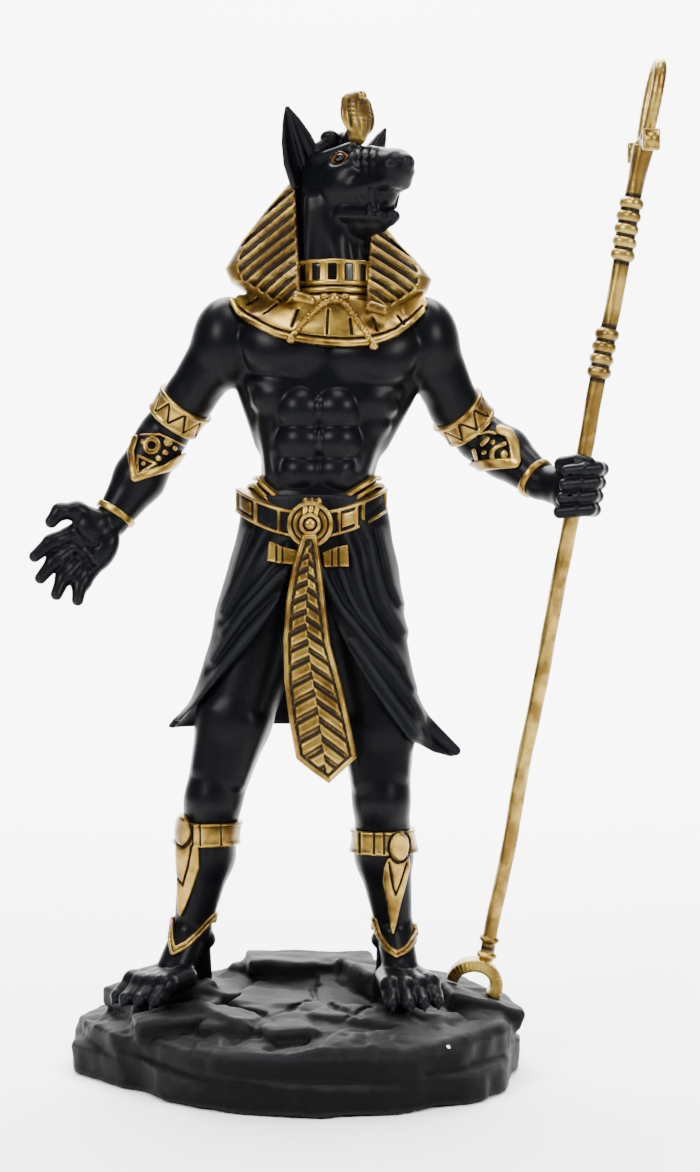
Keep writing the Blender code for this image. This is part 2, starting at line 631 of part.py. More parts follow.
def staff_fork(clay, grow):
    """The forked foot, a bent band that straddles the rock."""
    middle = along_staff(0.0) + at(-4.0, 0.0, -7.6) - at(0, 0, 0)
    steps = 12
    first_angle, last_angle = math.radians(-38), math.radians(168)

    def point(share):
        angle = first_angle + (last_angle - first_angle) * share
        return middle + at(7.3 * math.cos(angle), 3.5 * share - 2.0, 6.2 * math.sin(angle)) - at(0, 0, 0)

    for step in range(steps):
        start = point(step / steps)
        end = point((step + 1) / steps)
        along = end - start
        turn = Matrix((along.normalized(), Vector((0, 1, 0)),
                       along.normalized().cross(Vector((0, 1, 0))))).transposed()
        clay.block((start + end) / 2, ((along.length + 2 * grow) / UNIT + 1.6, (FORK_WIDTH + 2 * grow) / UNIT,
                                       (FORK_THICKNESS + 2 * grow) / UNIT), turn)


def staff_shaft(clay, grow):
    """The plain shaft with the two rings above its foot."""
    radius = (STAFF_DIAMETER / 2 + grow) / UNIT
    clay.limb(along_staff(0.0), radius, along_staff(0.90), radius)
    axis = (along_staff(1.0) - along_staff(0.0)).normalized()
    for share in (0.006, 0.024):
        clay.disc(along_staff(share), radius + 0.9, 2.2 + 2 * grow / UNIT, axis)


def add_staff(clay):
    """The ankh staff: shaft, two bead nodes, forked foot and the ankh on top."""
    staff_shaft(clay, 0.0)
    staff_fork(clay, 0.0)
    radius = STAFF_DIAMETER / 2 / UNIT
    bead = BEAD_DIAMETER / 2 / UNIT
    for middle, half, count in ((0.684, 0.028, 4), (0.820, 0.036, 5)):
        for step in range(count):
            share = middle + half * (2 * step / (count - 1) - 1)
            clay.ball(along_staff(share), (bead, bead, 0.8 * bead))
    clay.limb(along_staff(0.865), radius, along_staff(0.905), radius + 0.8)
    bar_way = Vector((math.sin(math.radians(5)), -math.cos(math.radians(5)), 0.0))
    thick = ANKH_THICKNESS / UNIT
    bar_middle = along_staff(0.905)
    for side in (-1, 1):
        end = bar_middle + bar_way * side * 11.0 * UNIT
        clay.limb(bar_middle, thick * 0.42, end, thick * 0.48)
        clay.block(end, (thick * 1.12, 2.4, thick * 1.40), Matrix.Rotation(math.radians(5), 3, "Z"))
    up = (along_staff(1.0) - along_staff(0.0)).normalized()
    start = along_staff(0.905)
    loop_height = (along_staff(1.0) - start).length / UNIT - thick / 2
    steps = 24
    ring = []
    for step in range(steps):
        angle = math.tau * step / steps
        rise = loop_height * (1 - math.cos(angle)) / 2
        swell = 6.4 * math.sin(angle) * (0.62 + 0.38 * rise / loop_height)
        ring.append(start + (up * rise + bar_way * swell) * UNIT)
    for first, second in zip(ring, ring[1:] + ring[:1]):
        clay.limb(first, thick * 0.42, second, thick * 0.42)


def build_body(material, collection):
    """The trunk, limbs, belt, kilt and rock."""
    clay = Clay()
    add_torso(clay)
    for side in ("right", "left"):
        add_arm(clay, side)
        add_leg(clay, side)
    add_open_hand(clay)
    add_fist(clay)
    add_belt(clay)
    add_kilt(clay)
    add_apron(clay)
    add_rock(clay)
    return clay.cast("figure", material, GRAIN, 2, BODY_FACES, collection)


def build_head(material, collection):
    """The head, ears, cobra, headdress, neck and collar, which are joined to the body."""
    clay = Clay()
    add_neck(clay)
    add_head(clay)
    add_ears(clay)
    add_cobra(clay)
    add_headdress(clay)
    add_collar(clay)
    return clay.cast("head", material, FINE_GRAIN, 2, HEAD_FACES, collection)


def combine(body, tool, operation, collection):
    """Join a tool to a body, or cut it away, with an exact Boolean."""
    for holder in list(tool.users_collection):
        holder.objects.unlink(tool)
    collection.objects.link(tool)
    tool.hide_render = True
    tool.display_type = "WIRE"
    step = body.modifiers.new(tool.name, "BOOLEAN")
    step.operation = operation
    step.solver = "EXACT"
    step.object = tool


def ground_block():
    """A block that cuts the rock off flat at the ground."""
    bpy.ops.mesh.primitive_cube_add(size=1.0, location=(0.0, 0.0, -0.5))
    block = bpy.context.active_object
    block.name = "ground_cutter"
    return block


def new_collection(name):
    """A collection in the scene."""
    collection = bpy.data.collections.new(name)
    bpy.context.scene.collection.children.link(collection)
    return collection


def main():
    """Build both castings."""
    for thing in list(bpy.data.objects):
        bpy.data.objects.remove(thing, do_unlink=True)
    parts = new_collection("anubis_statue")
    cutters = new_collection("cutters")
    resin = finish("black_resin", (0.012, 0.013, 0.016), 0.0, 0.36)
    gold = finish("gold_paint", (0.55, 0.36, 0.10), 0.75, 0.38)
    figure = build_body(resin, parts)
    combine(figure, build_head(resin, parts), "UNION", cutters)
    combine(figure, ground_block(), "DIFFERENCE", cutters)
    hollow = Clay()
    staff_shaft(hollow, CLEARANCE)
    staff_fork(hollow, CLEARANCE)
    cutter = hollow.cast("staff_cutter", gold, FINE_GRAIN, 2, 2 * STAFF_FACES, parts)
    combine(figure, cutter, "DIFFERENCE", cutters)
    staff = Clay()
    add_staff(staff)
    staff.cast("staff", gold, FINE_GRAIN, 2, STAFF_FACES, parts)


main()
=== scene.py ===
"""The looks of a cast, painted statue of a jackal-headed Anubis with its ankh staff.

Every form is modelled as clay: soft unions and cuts of simple solids in a box of sample points,
whose zero surface becomes a fine mesh. Sizes are in millimetres, with heights above the ledge that
the feet stand on. Ornaments are raised out of the same body that they lie on.
"""
import logging  # noqa: E402
import math  # noqa: E402
from dataclasses import dataclass, field  # noqa: E402
from enum import Enum  # noqa: E402
from typing import Callable, Optional, Sequence  # noqa: E402

import bpy  # noqa: E402
import numpy as np  # noqa: E402
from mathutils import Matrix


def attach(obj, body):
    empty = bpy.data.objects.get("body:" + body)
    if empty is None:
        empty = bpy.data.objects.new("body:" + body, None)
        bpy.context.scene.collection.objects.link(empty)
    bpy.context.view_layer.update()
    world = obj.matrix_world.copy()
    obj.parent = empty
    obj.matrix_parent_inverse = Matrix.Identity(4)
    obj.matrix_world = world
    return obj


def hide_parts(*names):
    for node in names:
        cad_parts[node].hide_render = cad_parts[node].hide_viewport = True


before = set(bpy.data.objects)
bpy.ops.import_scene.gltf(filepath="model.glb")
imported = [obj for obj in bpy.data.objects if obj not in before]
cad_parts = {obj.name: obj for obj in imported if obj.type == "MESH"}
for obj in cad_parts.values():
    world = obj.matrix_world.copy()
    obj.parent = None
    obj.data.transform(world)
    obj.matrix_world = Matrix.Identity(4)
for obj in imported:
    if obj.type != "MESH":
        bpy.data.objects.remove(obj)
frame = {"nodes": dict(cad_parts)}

import openvdb  # noqa: E402
from mathutils import Vector  # noqa: E402

logging.basicConfig(level=logging.INFO, format="%(message)s")
LOG = logging.getLogger("anubis_statue")

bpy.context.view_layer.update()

MM = 0.001
LEDGE = 24.0            # the ledge's height above the underside
FAR = 8.0               # a distance that counts as well outside
ROOT = "root"
FIGURE = "figure"
STAFF = "staff"
RESIN_SLOT = "black_resin"
GOLD_SLOT = "gold_paint"

Triple = tuple[float, float, float]
Pair = tuple[float, float]
Array = np.ndarray
Socket = bpy.types.NodeSocket


class Side(Enum):
    """The figure's own sides, with the direction each has on the x axis."""

    RIGHT = -1
    LEFT = 1

    @property
    def word(self) -> str:
        """The side as it stands in a piece's name."""
        return self.name.lower()


class Grain(Enum):
    """How far apart the sample points of a piece are, in millimetres."""

    JEWEL = 0.30
    FINE = 0.38
    BODY = 0.50
    BROAD = 0.60

    def step(self) -> float:
        return self.value * 1.0


BAND_STEPS = 3.0        # how many steps on each side of a surface its mesh is found from
BROAD_REACH = 2.6       # how much wider the broad hollows, which hold the gold's painted shade, are than the fine ones

# Pieces with fewer triangles than the first stay whole; larger ones keep this share of theirs
SMALL_PIECE = 9000
KEPT_SHARE = 0.37

# The photograph's camera: its place, its tilt down and the pixels per millimetre at y = 0
CAMERA_PLACE = (17.67, -700.0, 165.0)
CAMERA_TILT = math.radians(-0.3624)
CAMERA_LENS = 64.505
CAMERA_SENSOR = 36.0
PHOTO_MIDDLE = (350.0, 572.0)
PHOTO_SCALE = 3.0


def seen(pixel_x: float, pixel_y: float, depth: float) -> Triple:
    """The point that a pixel of the photograph shows at a given depth.

    Args:
        pixel_x: the pixel's column in the 700 by 1172 photograph.
        pixel_y: the pixel's row.
        depth: the point's y, in millimetres.

    Returns:
        The point, with its height above the ledge.
    """
    spread = (depth - CAMERA_PLACE[1]) / (-CAMERA_PLACE[1] * PHOTO_SCALE)
    across = CAMERA_PLACE[0] + (pixel_x - PHOTO_MIDDLE[0]) * spread
    height = CAMERA_PLACE[2] + (PHOTO_MIDDLE[1] - pixel_y) * spread
    return (across, depth, height - LEDGE)


def seen_on_ledge(pixel_x: float, pixel_y: float) -> Triple:
    """The point of the ledge's level that a pixel of the photograph shows."""
    spread = (CAMERA_PLACE[2] - LEDGE) * -CAMERA_PLACE[1] * PHOTO_SCALE / (pixel_y - PHOTO_MIDDLE[1])
    return seen(pixel_x, pixel_y, spread + CAMERA_PLACE[1])


def seen_row(pixels: Sequence[Pair], depth: float) -> list[Pair]:
    """The (x, z) places of a row of pixels at one depth."""
    return [(point[0], point[2]) for point in (seen(px, py, depth) for px, py in pixels)]


def lerp(start: Sequence[float], end: Sequence[float], share: float) -> Triple:
    """The point a share of the way from start to end."""
    return tuple(a + (b - a) * share for a, b in zip(start, end))


def shift(point: Sequence[float], x: float = 0.0, y: float = 0.0, z: float = 0.0) -> Triple:
    """The point moved along the axes."""
    return (point[0] + x, point[1] + y, point[2] + z)


def unit(vector: Sequence[float]) -> Array:
    """The vector scaled to a length of one."""
    array = np.asarray(vector, float)
    return array / np.linalg.norm(array)


def along_axes(place: Sequence[float], axes: Sequence[Sequence[float]],
               x: Array, y: Array, z: Array) -> list[Array]:
    """How far each point lies from a place along each of a few directions."""
    parts = (x - place[0], y - place[1], z - place[2])
    return [sum(part * axis[i] for i, part in enumerate(parts)) for axis in axes]


def soft_min(first: Array, second: Array, blend: float) -> Array:
    """The smaller of two distances, with a fillet where they are nearly equal."""
    lower = np.minimum(first, second)
    if blend <= 0.0:
        return lower
    overlap = np.maximum(blend - np.abs(first - second), 0.0)
    return lower - overlap * overlap / (4.0 * blend)


def soft_max(first: Array, second: Array, blend: float) -> Array:
    """The larger of two distances, with a rounded edge where they are nearly equal."""
    return -soft_min(-first, -second, blend)


class Form:
    """A simple solid that can say how far any point is from its surface."""

    def reach(self) -> tuple[Array, Array]:
        """The lowest and highest corner of the form."""
        raise NotImplementedError

    def distance(self, x: Array, y: Array, z: Array) -> Array:
        """How far each point is outside the form; inside it is below zero."""
        raise NotImplementedError


@dataclass(frozen=True)
class Ball(Form):
    """An egg of three radii, turned so that its radii lie along three given directions."""

    middle: Triple
    radii: Triple
    turn: Optional[tuple[Triple, Triple, Triple]] = None

    def reach(self) -> tuple[Array, Array]:
        """The lowest and highest corner of the egg."""
        middle = np.asarray(self.middle, float)
        size = np.asarray(self.radii if self.turn is None else [max(self.radii)] * 3, float)
        return middle - size, middle + size

    def distance(self, x: Array, y: Array, z: Array) -> Array:
        """How far each point is outside the egg."""
        parts = [x - self.middle[0], y - self.middle[1], z - self.middle[2]]
        if self.turn is not None:
            parts = [axis[0] * parts[0] + axis[1] * parts[1] + axis[2] * parts[2] for axis in self.turn]
        near = sum((part / radius) ** 2 for part, radius in zip(parts, self.radii))
        steep = sum((part / radius ** 2) ** 2 for part, radius in zip(parts, self.radii))
        near = np.sqrt(near)
        return near * (near - 1.0) / np.sqrt(np.maximum(steep, 1e-8))


@dataclass(frozen=True)
class Limb(Form):
    """A round limb that tapers between two rounded ends."""

    start: Triple
    end: Triple
    start_radius: float
    end_radius: float

    def reach(self) -> tuple[Array, Array]:
        """The lowest and highest corner of the limb."""
        ends = np.asarray([self.start, self.end], float)
        widest = max(self.start_radius, self.end_radius)
        return ends.min(axis=0) - widest, ends.max(axis=0) + widest

    def distance(self, x: Array, y: Array, z: Array) -> Array:
        """How far each point is outside the limb."""
        along = [b - a for a, b in zip(self.start, self.end)]
        length_squared = max(sum(part * part for part in along), 1e-9)
        dx, dy, dz = x - self.start[0], y - self.start[1], z - self.start[2]
        share = np.clip((dx * along[0] + dy * along[1] + dz * along[2]) / length_squared, 0.0, 1.0)
        off = np.sqrt((dx - share * along[0]) ** 2 + (dy - share * along[1]) ** 2
                      + (dz - share * along[2]) ** 2)
        return off - (self.start_radius + share * (self.end_radius - self.start_radius))


@dataclass(frozen=True)
class Block(Form):
    """A box with rounded edges, turned so that its sides lie along three given directions."""

    middle: Triple
    halves: Triple
    turn: tuple[Triple, Triple, Triple] = ((1, 0, 0), (0, 1, 0), (0, 0, 1))
    rounding: float = 0.4

    def reach(self) -> tuple[Array, Array]:
        """The lowest and highest corner of the box."""
        spread = np.abs(np.asarray(self.turn, float)).T @ np.asarray(self.halves, float)
        middle = np.asarray(self.middle, float)
        return middle - spread, middle + spread

    def distance(self, x: Array, y: Array, z: Array) -> Array:
        """How far each point is outside the box."""
        dx, dy, dz = x - self.middle[0], y - self.middle[1], z - self.middle[2]
        parts = [
            np.abs(axis[0] * dx + axis[1] * dy + axis[2] * dz) - (half - self.rounding)
            for axis, half in zip(self.turn, self.halves)
        ]
        outside = np.sqrt(sum(np.maximum(part, 0.0) ** 2 for part in parts))
        inside = np.minimum(np.maximum(np.maximum(parts[0], parts[1]), parts[2]), 0.0)
        return outside + inside - self.rounding


@dataclass(frozen=True)
class Disc(Form):
    """A round plate with rounded edges, or a ring where it has a hole."""

    middle: Triple
    axis: Triple
    radius: float
    half_thickness: float
    hole: float = 0.0
    rounding: float = 0.4

    def reach(self) -> tuple[Array, Array]:
        """The lowest and highest corner of the plate."""
        axis = np.abs(unit(self.axis))
        size = self.radius * np.sqrt(np.maximum(1.0 - axis ** 2, 0.0)) + self.half_thickness * axis
        middle = np.asarray(self.middle, float)
        return middle - size, middle + size

    def distance(self, x: Array, y: Array, z: Array) -> Array:
        """How far each point is outside the plate."""
        axis = unit(self.axis)
        dx, dy, dz = x - self.middle[0], y - self.middle[1], z - self.middle[2]
        along = axis[0] * dx + axis[1] * dy + axis[2] * dz
        across = np.sqrt(np.maximum(dx ** 2 + dy ** 2 + dz ** 2 - along ** 2, 0.0))
        rim = across - (self.radius - self.rounding)
        if self.hole > 0.0:
            rim = np.maximum(rim, (self.hole + self.rounding) - across)
        face = np.abs(along) - (self.half_thickness - self.rounding)
        outside = np.sqrt(np.maximum(rim, 0.0) ** 2 + np.maximum(face, 0.0) ** 2)
        return outside + np.minimum(np.maximum(rim, face), 0.0) - self.rounding


@dataclass(frozen=True)
class Stack(Form):
    """Oval cross-sections stacked up: rows of height, middle x, half width, middle y, half depth."""

    levels: tuple[tuple[float, float, float, float, float], ...]
    cap: float = 1.5

    def reach(self) -> tuple[Array, Array]:
        """The lowest and highest corner of the stack."""
        rows = np.asarray(self.levels, float)
        low = [(rows[:, 1] - rows[:, 2]).min(), (rows[:, 3] - rows[:, 4]).min(), rows[:, 0].min()]
        high = [(rows[:, 1] + rows[:, 2]).max(), (rows[:, 3] + rows[:, 4]).max(), rows[:, 0].max()]
        return np.asarray(low), np.asarray(high)

    def sizes(self, z: Array) -> list[Array]:
        """The middle x, half width, middle y and half depth at each height."""
        rows = np.asarray(self.levels, float)[::-1]
        return [np.interp(z, rows[:, 0], rows[:, column]).astype(np.float32) for column in (1, 2, 3, 4)]

    def front(self, x: float, z: float) -> float:
        """The y of the stack's front at a place."""
        middle_x, half_width, middle_y, half_depth = (float(size) for size in self.sizes(np.float32(z)))
        beside = min(0.98, abs(x - middle_x) / half_width)
        return middle_y - half_depth * math.sqrt(1.0 - beside * beside)

    def distance(self, x: Array, y: Array, z: Array) -> Array:
        """How far each point is outside the stack."""
        middle_x, half_width, middle_y, half_depth = self.sizes(z)
        dx, dy = x - middle_x, y - middle_y
        near = np.sqrt((dx / half_width) ** 2 + (dy / half_depth) ** 2)
        steep = np.sqrt((dx / half_width ** 2) ** 2 + (dy / half_depth ** 2) ** 2)
        side = near * (near - 1.0) / np.maximum(steep, 1e-4)
        heights = [row[0] for row in self.levels]
        ends = np.maximum(z - max(heights), min(heights) - z)
        return soft_max(side, ends, self.cap)


@dataclass(frozen=True)
class Rule(Form):
    """A form whose distance comes from a rule of its own, inside a stated box."""

    low: Triple
    high: Triple
    rule: Callable[[Array, Array, Array], Array]

    def reach(self) -> tuple[Array, Array]:
        """The stated box."""
        return np.asarray(self.low, float), np.asarray(self.high, float)

    def distance(self, x: Array, y: Array, z: Array) -> Array:
        """What the rule says at each point."""
        return self.rule(x, y, z)


class Clay:
    """A box of sample points that holds how far each one is outside the modelled shape."""

    def __init__(self, low: Triple, high: Triple, grain: Grain) -> None:
        """Start with nothing in the box.

        Args:
            low: the box's lowest corner.
            high: its highest corner.
            grain: how far apart the sample points are.
        """
        self.step = grain.step()
        self.low = np.asarray(low, float)
        counts = [int(math.ceil((b - a) / self.step)) + 1 for a, b in zip(low, high)]
        self.axes = [
            (start + self.step * np.arange(count)).astype(np.float32)
            for start, count in zip(self.low, counts)
        ]
        self.distance = np.full(counts, FAR, np.float32)

    def grids(self, spans: Optional[tuple[slice, ...]] = None) -> tuple[Array, ...]:
        """The x, y and z of the sample points, shaped so that they combine by broadcasting."""
        spans = spans or (slice(None),) * 3
        x, y, z = (axis[span] for axis, span in zip(self.axes, spans))
        return x[:, None, None], y[None, :, None], z[None, None, :]

    def window(self, form: Form, margin: float) -> Optional[tuple[slice, ...]]:
        """The part of the box that a form can reach.

        Args:
            form: the simple solid.
            margin: how far past it the box still changes, in millimetres.

        Returns:
            A slice of the sample points along each axis, or None if the form is outside the box.
        """
        low, high = form.reach()
        spans = []
        for axis, start, end in zip(self.axes, low - margin, high + margin):
            first = max(0, int(math.floor((start - axis[0]) / self.step)))
            last = min(len(axis), int(math.ceil((end - axis[0]) / self.step)) + 1)
            if last <= first:
                return None
            spans.append(slice(first, last))
        return tuple(spans)

    def add(self, form: Form, blend: float = 0.8) -> None:
        """Press a form on, with a fillet of the given size."""
        spans = self.window(form, blend + BAND_STEPS * self.step)
        if spans is not None:
            there = form.distance(*self.grids(spans))
            self.distance[spans] = soft_min(self.distance[spans], there, blend)

    def cut(self, form: Form, blend: float = 0.5) -> None:
        """Carve a form out, with edges rounded by the given size."""
        spans = self.window(form, blend + BAND_STEPS * self.step)
        if spans is not None:
            there = form.distance(*self.grids(spans))
            self.distance[spans] = soft_max(self.distance[spans], -there, blend)

    def chain(self, stations: Sequence[tuple[Triple, float]], blend: float = 0.8) -> None:
        """Press on a row of limbs through stations of a point and a radius."""
        for (start, start_radius), (end, end_radius) in zip(stations, stations[1:]):
            self.add(Limb(start, end, start_radius, end_radius), blend)

    def groove(self, points: Sequence[Triple], radius: float, blend: float = 0.6) -> None:
        """Carve a round groove through a row of points."""
        for start, end in zip(points, points[1:]):
            self.cut(Limb(start, end, radius, radius), blend)

    def nearest(self, place: Triple) -> tuple[int, ...]:
        """Which sample point is the closest to a place."""
        return tuple(int(np.argmin(np.abs(axis - at))) for axis, at in zip(self.axes, place))

    def front(self, x: float, z: float) -> float:
        """The y of the shape's front at a place."""
        near_x, _, near_z = self.nearest((x, 0.0, z))
        inside = np.nonzero(self.distance[near_x, :, near_z] <= 0.0)[0]
        return float(self.axes[1][inside[0] if len(inside) else -1])

    def lay(self, other: Array, blend: float = 0.0) -> None:
        """Press on a shape given as distances at every sample point."""
        self.distance = soft_min(self.distance, other, blend).astype(np.float32)

    def keep(self, other: Array, blend: float = 0.3) -> None:
        """Keep only what lies inside a shape given as distances at every sample point."""
        self.distance = soft_max(self.distance, other, blend).astype(np.float32)


class Cavity:
    """How hollow or proud a surface is at each of its points."""

    def __init__(self, clay: Clay) -> None:
        """Keep the clay that the surface was made from."""
        self.clay = clay

    def sample(self, places: Array) -> Array:
        """Read the clay's distances between its sample points.

        Args:
            places: one row per point, counted in steps of the box.

        Returns:
            The distance at each point.
        """
        counts = np.asarray(self.clay.distance.shape)
        places = np.clip(places, 0.0, counts - 1.001)
        base = np.floor(places).astype(int)
        share = places - base
        total = np.zeros(len(places), np.float32)
        for corner in range(8):
            offset = np.array([(corner >> bit) & 1 for bit in range(3)])
            weight = np.prod(np.where(offset, share, 1.0 - share), axis=1)
            index = base + offset
            total += weight * self.clay.distance[index[:, 0], index[:, 1], index[:, 2]]
        return total

    def measure(self, places: Array, radius: float) -> Array:
        """The mean distance a radius away from each point.

        Args:
            places: one row per point, counted in steps of the box.
            radius: how far around each point to look, in millimetres.

        Returns:
            Values above zero on ridges and below it in grooves.
        """
        reach = radius / self.clay.step
        total = np.zeros(len(places), np.float32)
        for axis in range(3):
            for way in (-1.0, 1.0):
                moved = places.copy()
                moved[:, axis] += way * reach
                total += self.sample(moved)
        return total / 6.0


@dataclass(frozen=True)
class Coat:
    """A finish in use: its material, and the record's slot that it belongs to."""

    material: bpy.types.Material
    slot: str


def cast(clay: Clay, name: str, coat: Coat, cavity_radius: float, node: str = FIGURE) -> bpy.types.Object:
    """Turn clay into a piece of the statue.

    Args:
        clay: the modelled shape.
        name: the piece's name.
        coat: the finish it gets.
        cavity_radius: how wide the hollows are that hold the dark wash, and the proud edges that get a
            painted highlight, in millimetres; the broad hollows that hold painted shade are BROAD_REACH times
            as wide.
        node: the CAD node that it stands for.

    Returns:
        The new object, riding on the statue's body.
    """
    band = BAND_STEPS * clay.step
    values = np.clip(clay.distance, -band, band)
    for axis in range(3):
        edge = [slice(None)] * 3
        for end in (0, -1):
            edge[axis] = end
            values[tuple(edge)] = band
    grid = openvdb.FloatGrid(band)
    grid.copyFromArray(values)
    points, quads = grid.convertToQuads()
    places = points.astype(np.float64)
    mesh = bpy.data.meshes.new(name)
    world = (clay.low + places * clay.step + np.array([0.0, 0.0, LEDGE])) * MM
    first, third = world[quads[:, 0]], world[quads[:, 2]]
    second, fourth = world[quads[:, 1]], world[quads[:, 3]]
    volume = (np.einsum("ij,ij->i", first, np.cross(second, third)).sum()
              + np.einsum("ij,ij->i", first, np.cross(third, fourth)).sum())
    if volume < 0.0:
        quads = quads[:, ::-1]
    mesh.vertices.add(len(world))
    mesh.vertices.foreach_set("co", world.astype(np.float32).ravel())
    mesh.loops.add(quads.size)
    mesh.loops.foreach_set("vertex_index", np.ascontiguousarray(quads, dtype=np.int32).ravel())
    mesh.polygons.add(len(quads))
    mesh.polygons.foreach_set("loop_start", np.arange(0, quads.size, 4, dtype=np.int32))
    mesh.update(calc_edges=True)
    mesh.polygons.foreach_set("use_smooth", np.ones(len(quads), bool))
    cavity = Cavity(clay)
    for label, radius in (("hollow", cavity_radius), ("broad_hollow", BROAD_REACH * cavity_radius)):
        measured = cavity.measure(places, radius) / radius
        layer = mesh.attributes.new(label, "FLOAT", "POINT")
        layer.data.foreach_set("value", measured.astype(np.float32))
    piece = bpy.data.objects.new(name, mesh)
    bpy.context.scene.collection.objects.link(piece)
    thin_out(piece)
    return dress(piece, coat, node)


def thin_out(piece: bpy.types.Object) -> None:
    """Merge the faces that a piece's flatter places don't need.

    Args:
        piece: the object, whose mesh is replaced by a lighter one.
    """
    triangles = 2 * len(piece.data.polygons)
    if triangles < SMALL_PIECE:
        return
    modifier = piece.modifiers.new("fewer_faces", "DECIMATE")
    modifier.ratio = max(KEPT_SHARE, SMALL_PIECE / triangles)
    finished = piece.evaluated_get(bpy.context.evaluated_depsgraph_get())
    lighter = bpy.data.meshes.new_from_object(finished)
    full = piece.data
    piece.modifiers.clear()
    piece.data = lighter
    bpy.data.meshes.remove(full)


def dress(piece: bpy.types.Object, coat: Coat, node: str) -> bpy.types.Object:
    """Give a piece its finish and its place in the frame.

    Args:
        piece: the object.
        coat: the finish it gets.
        node: the CAD node that it stands for.

    Returns:
        The same object.
    """
    piece.data.materials.clear()
    piece.data.materials.append(coat.material)
    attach(piece, ROOT)
    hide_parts(node)
    LOG.info("%s: %d faces", piece.name, len(piece.data.polygons))
    return piece


def mesh_noise(x: Array, y: Array, z: Array, period: float, seed: int) -> Array:
    """Smooth random bumps from -1 to 1 with a given period.

    Args:
        x: places along x, shaped to broadcast with the others.
        y: places along y.
        z: places along z.
        period: the distance between independent bumps, in millimetres.
        seed: which bumps.

    Returns:
        The bumps' height at each point.
    """
    lattice = np.random.default_rng(seed).uniform(-1.0, 1.0, (32, 32, 32)).astype(np.float32)
    total: Array = np.float32(0.0)
    shares = []
    for values in (x, y, z):
        scaled = values / period + 1000.0
        base = np.floor(scaled).astype(int)
        share = (scaled - base).astype(np.float32)
        shares.append((base % 32, (base + 1) % 32, share * share * (3.0 - 2.0 * share)))
    for corner in range(8):
        weight: Array = np.float32(1.0)
        index = []
        for axis, (low, high, share) in enumerate(shares):
            upper = (corner >> axis) & 1
            index.append(high if upper else low)
            weight = weight * (share if upper else 1.0 - share)
        total = total + weight * lattice[tuple(index)]
    return total


# Finishes


@dataclass(frozen=True)
class ResinFinish:
    """Painted black resin, satin or matt."""

    name: str
    colour: Triple = (0.0018, 0.0020, 0.0026)
    # the lighter colour painted on proud edges and ridges as a highlight
    edge_highlight_colour: Triple = (0.0052, 0.0057, 0.0070)
    roughness: float = 0.31
    bend: float = 1.14
    bump: float = 0.10
    bump_scale: float = 420.0

    def make(self) -> Coat:
        """The finish, lighter on proud edges as a painted highlight, with fine brush texture and uneven
        gloss.
        """
        paint = Paint(self.name)
        shader = paint.shader
        fine = paint.noise(self.bump_scale, 4.0)
        broad = paint.noise(self.bump_scale / 9.0, 2.0)
        # painted highlight: proud edges and ridges take the lighter colour
        edge_highlight = paint.ramp(paint.attribute("hollow"), 0.02, 0.16)
        colour = paint.mix(edge_highlight, self.colour, self.edge_highlight_colour)
        paint.link(colour, shader.inputs["Base Color"])
        paint.link(paint.span(broad, self.roughness - 0.05, self.roughness + 0.07),
                   shader.inputs["Roughness"])
        shader.inputs["IOR"].default_value = self.bend
        paint.bump(fine, self.bump, 0.00025)
        return Coat(paint.material, RESIN_SLOT)


@dataclass(frozen=True)
class GoldFinish:
    """Antique gold paint with a dark wash left in its hollows, and painted shade in its broader hollows."""

    name: str
    colour: Triple = (0.33, 0.215, 0.042)
    # the darker tone, for random tone and for the painted shade in broad hollows
    shade: Triple = (0.110, 0.060, 0.012)
    wash: Triple = (0.0085, 0.0060, 0.0035)
    roughness: float = 0.29
    wash_level: float = 0.02
    wash_width: float = 0.14
    # how far out of broad hollows the dark brown reaches, for random stains and painted shade
    stain_and_shade_level: float = 0.10
    bump: float = 0.20
    # dark brown for random stains and painted shade in broad hollows
    grime_and_shade: Triple = (0.032, 0.017, 0.005)
    bend: float = 1.18

    def make(self) -> Coat:
        """The finish: gold on what stands proud, a dark wash in fine hollows, and painted shade with the wash
        and random stains in broad hollows.
        """
        paint = Paint(self.name)
        shader = paint.shader
        fine = paint.noise(650.0, 4.0)
        broad = paint.noise(110.0, 3.0)
        patch = paint.noise(260.0, 3.0)
        raised = paint.add(paint.attribute("hollow"), paint.span(fine, -0.035, 0.035))
        wide = paint.add(paint.attribute("broad_hollow"), paint.span(patch, -0.05, 0.05))
        clean = paint.ramp(raised, self.wash_level - self.wash_width, self.wash_level)
        # wash and painted shade: broad hollows darken to the shade colour
        broad_wash_and_shade = paint.ramp(wide, -0.14, 0.14)
        stain = paint.noise(75.0, 5.0)
        # random stains and painted shade: dark brown in noise patches and in broad hollows
        stain_and_shade = paint.add(paint.attribute("broad_hollow"), paint.span(stain, -0.30, 0.34))
        gold = paint.mix(paint.ramp(broad, 0.40, 0.62), self.shade, self.colour)
        gold = paint.mix(broad_wash_and_shade, self.shade, gold)
        gold = paint.mix(paint.ramp(stain_and_shade, -self.stain_and_shade_level - 0.04, -self.stain_and_shade_level + 0.02), self.grime_and_shade, gold)
        paint.link(paint.mix(clean, self.wash, gold), shader.inputs["Base Color"])
        paint.link(paint.span(clean, 0.15, 0.88), shader.inputs["Metallic"])
        paint.link(paint.span(patch, self.roughness + 0.12, self.roughness - 0.06),
                   shader.inputs["Roughness"])
        shader.inputs["IOR"].default_value = self.bend
        paint.bump(fine, self.bump, 0.0003)
        return Coat(paint.material, GOLD_SLOT)


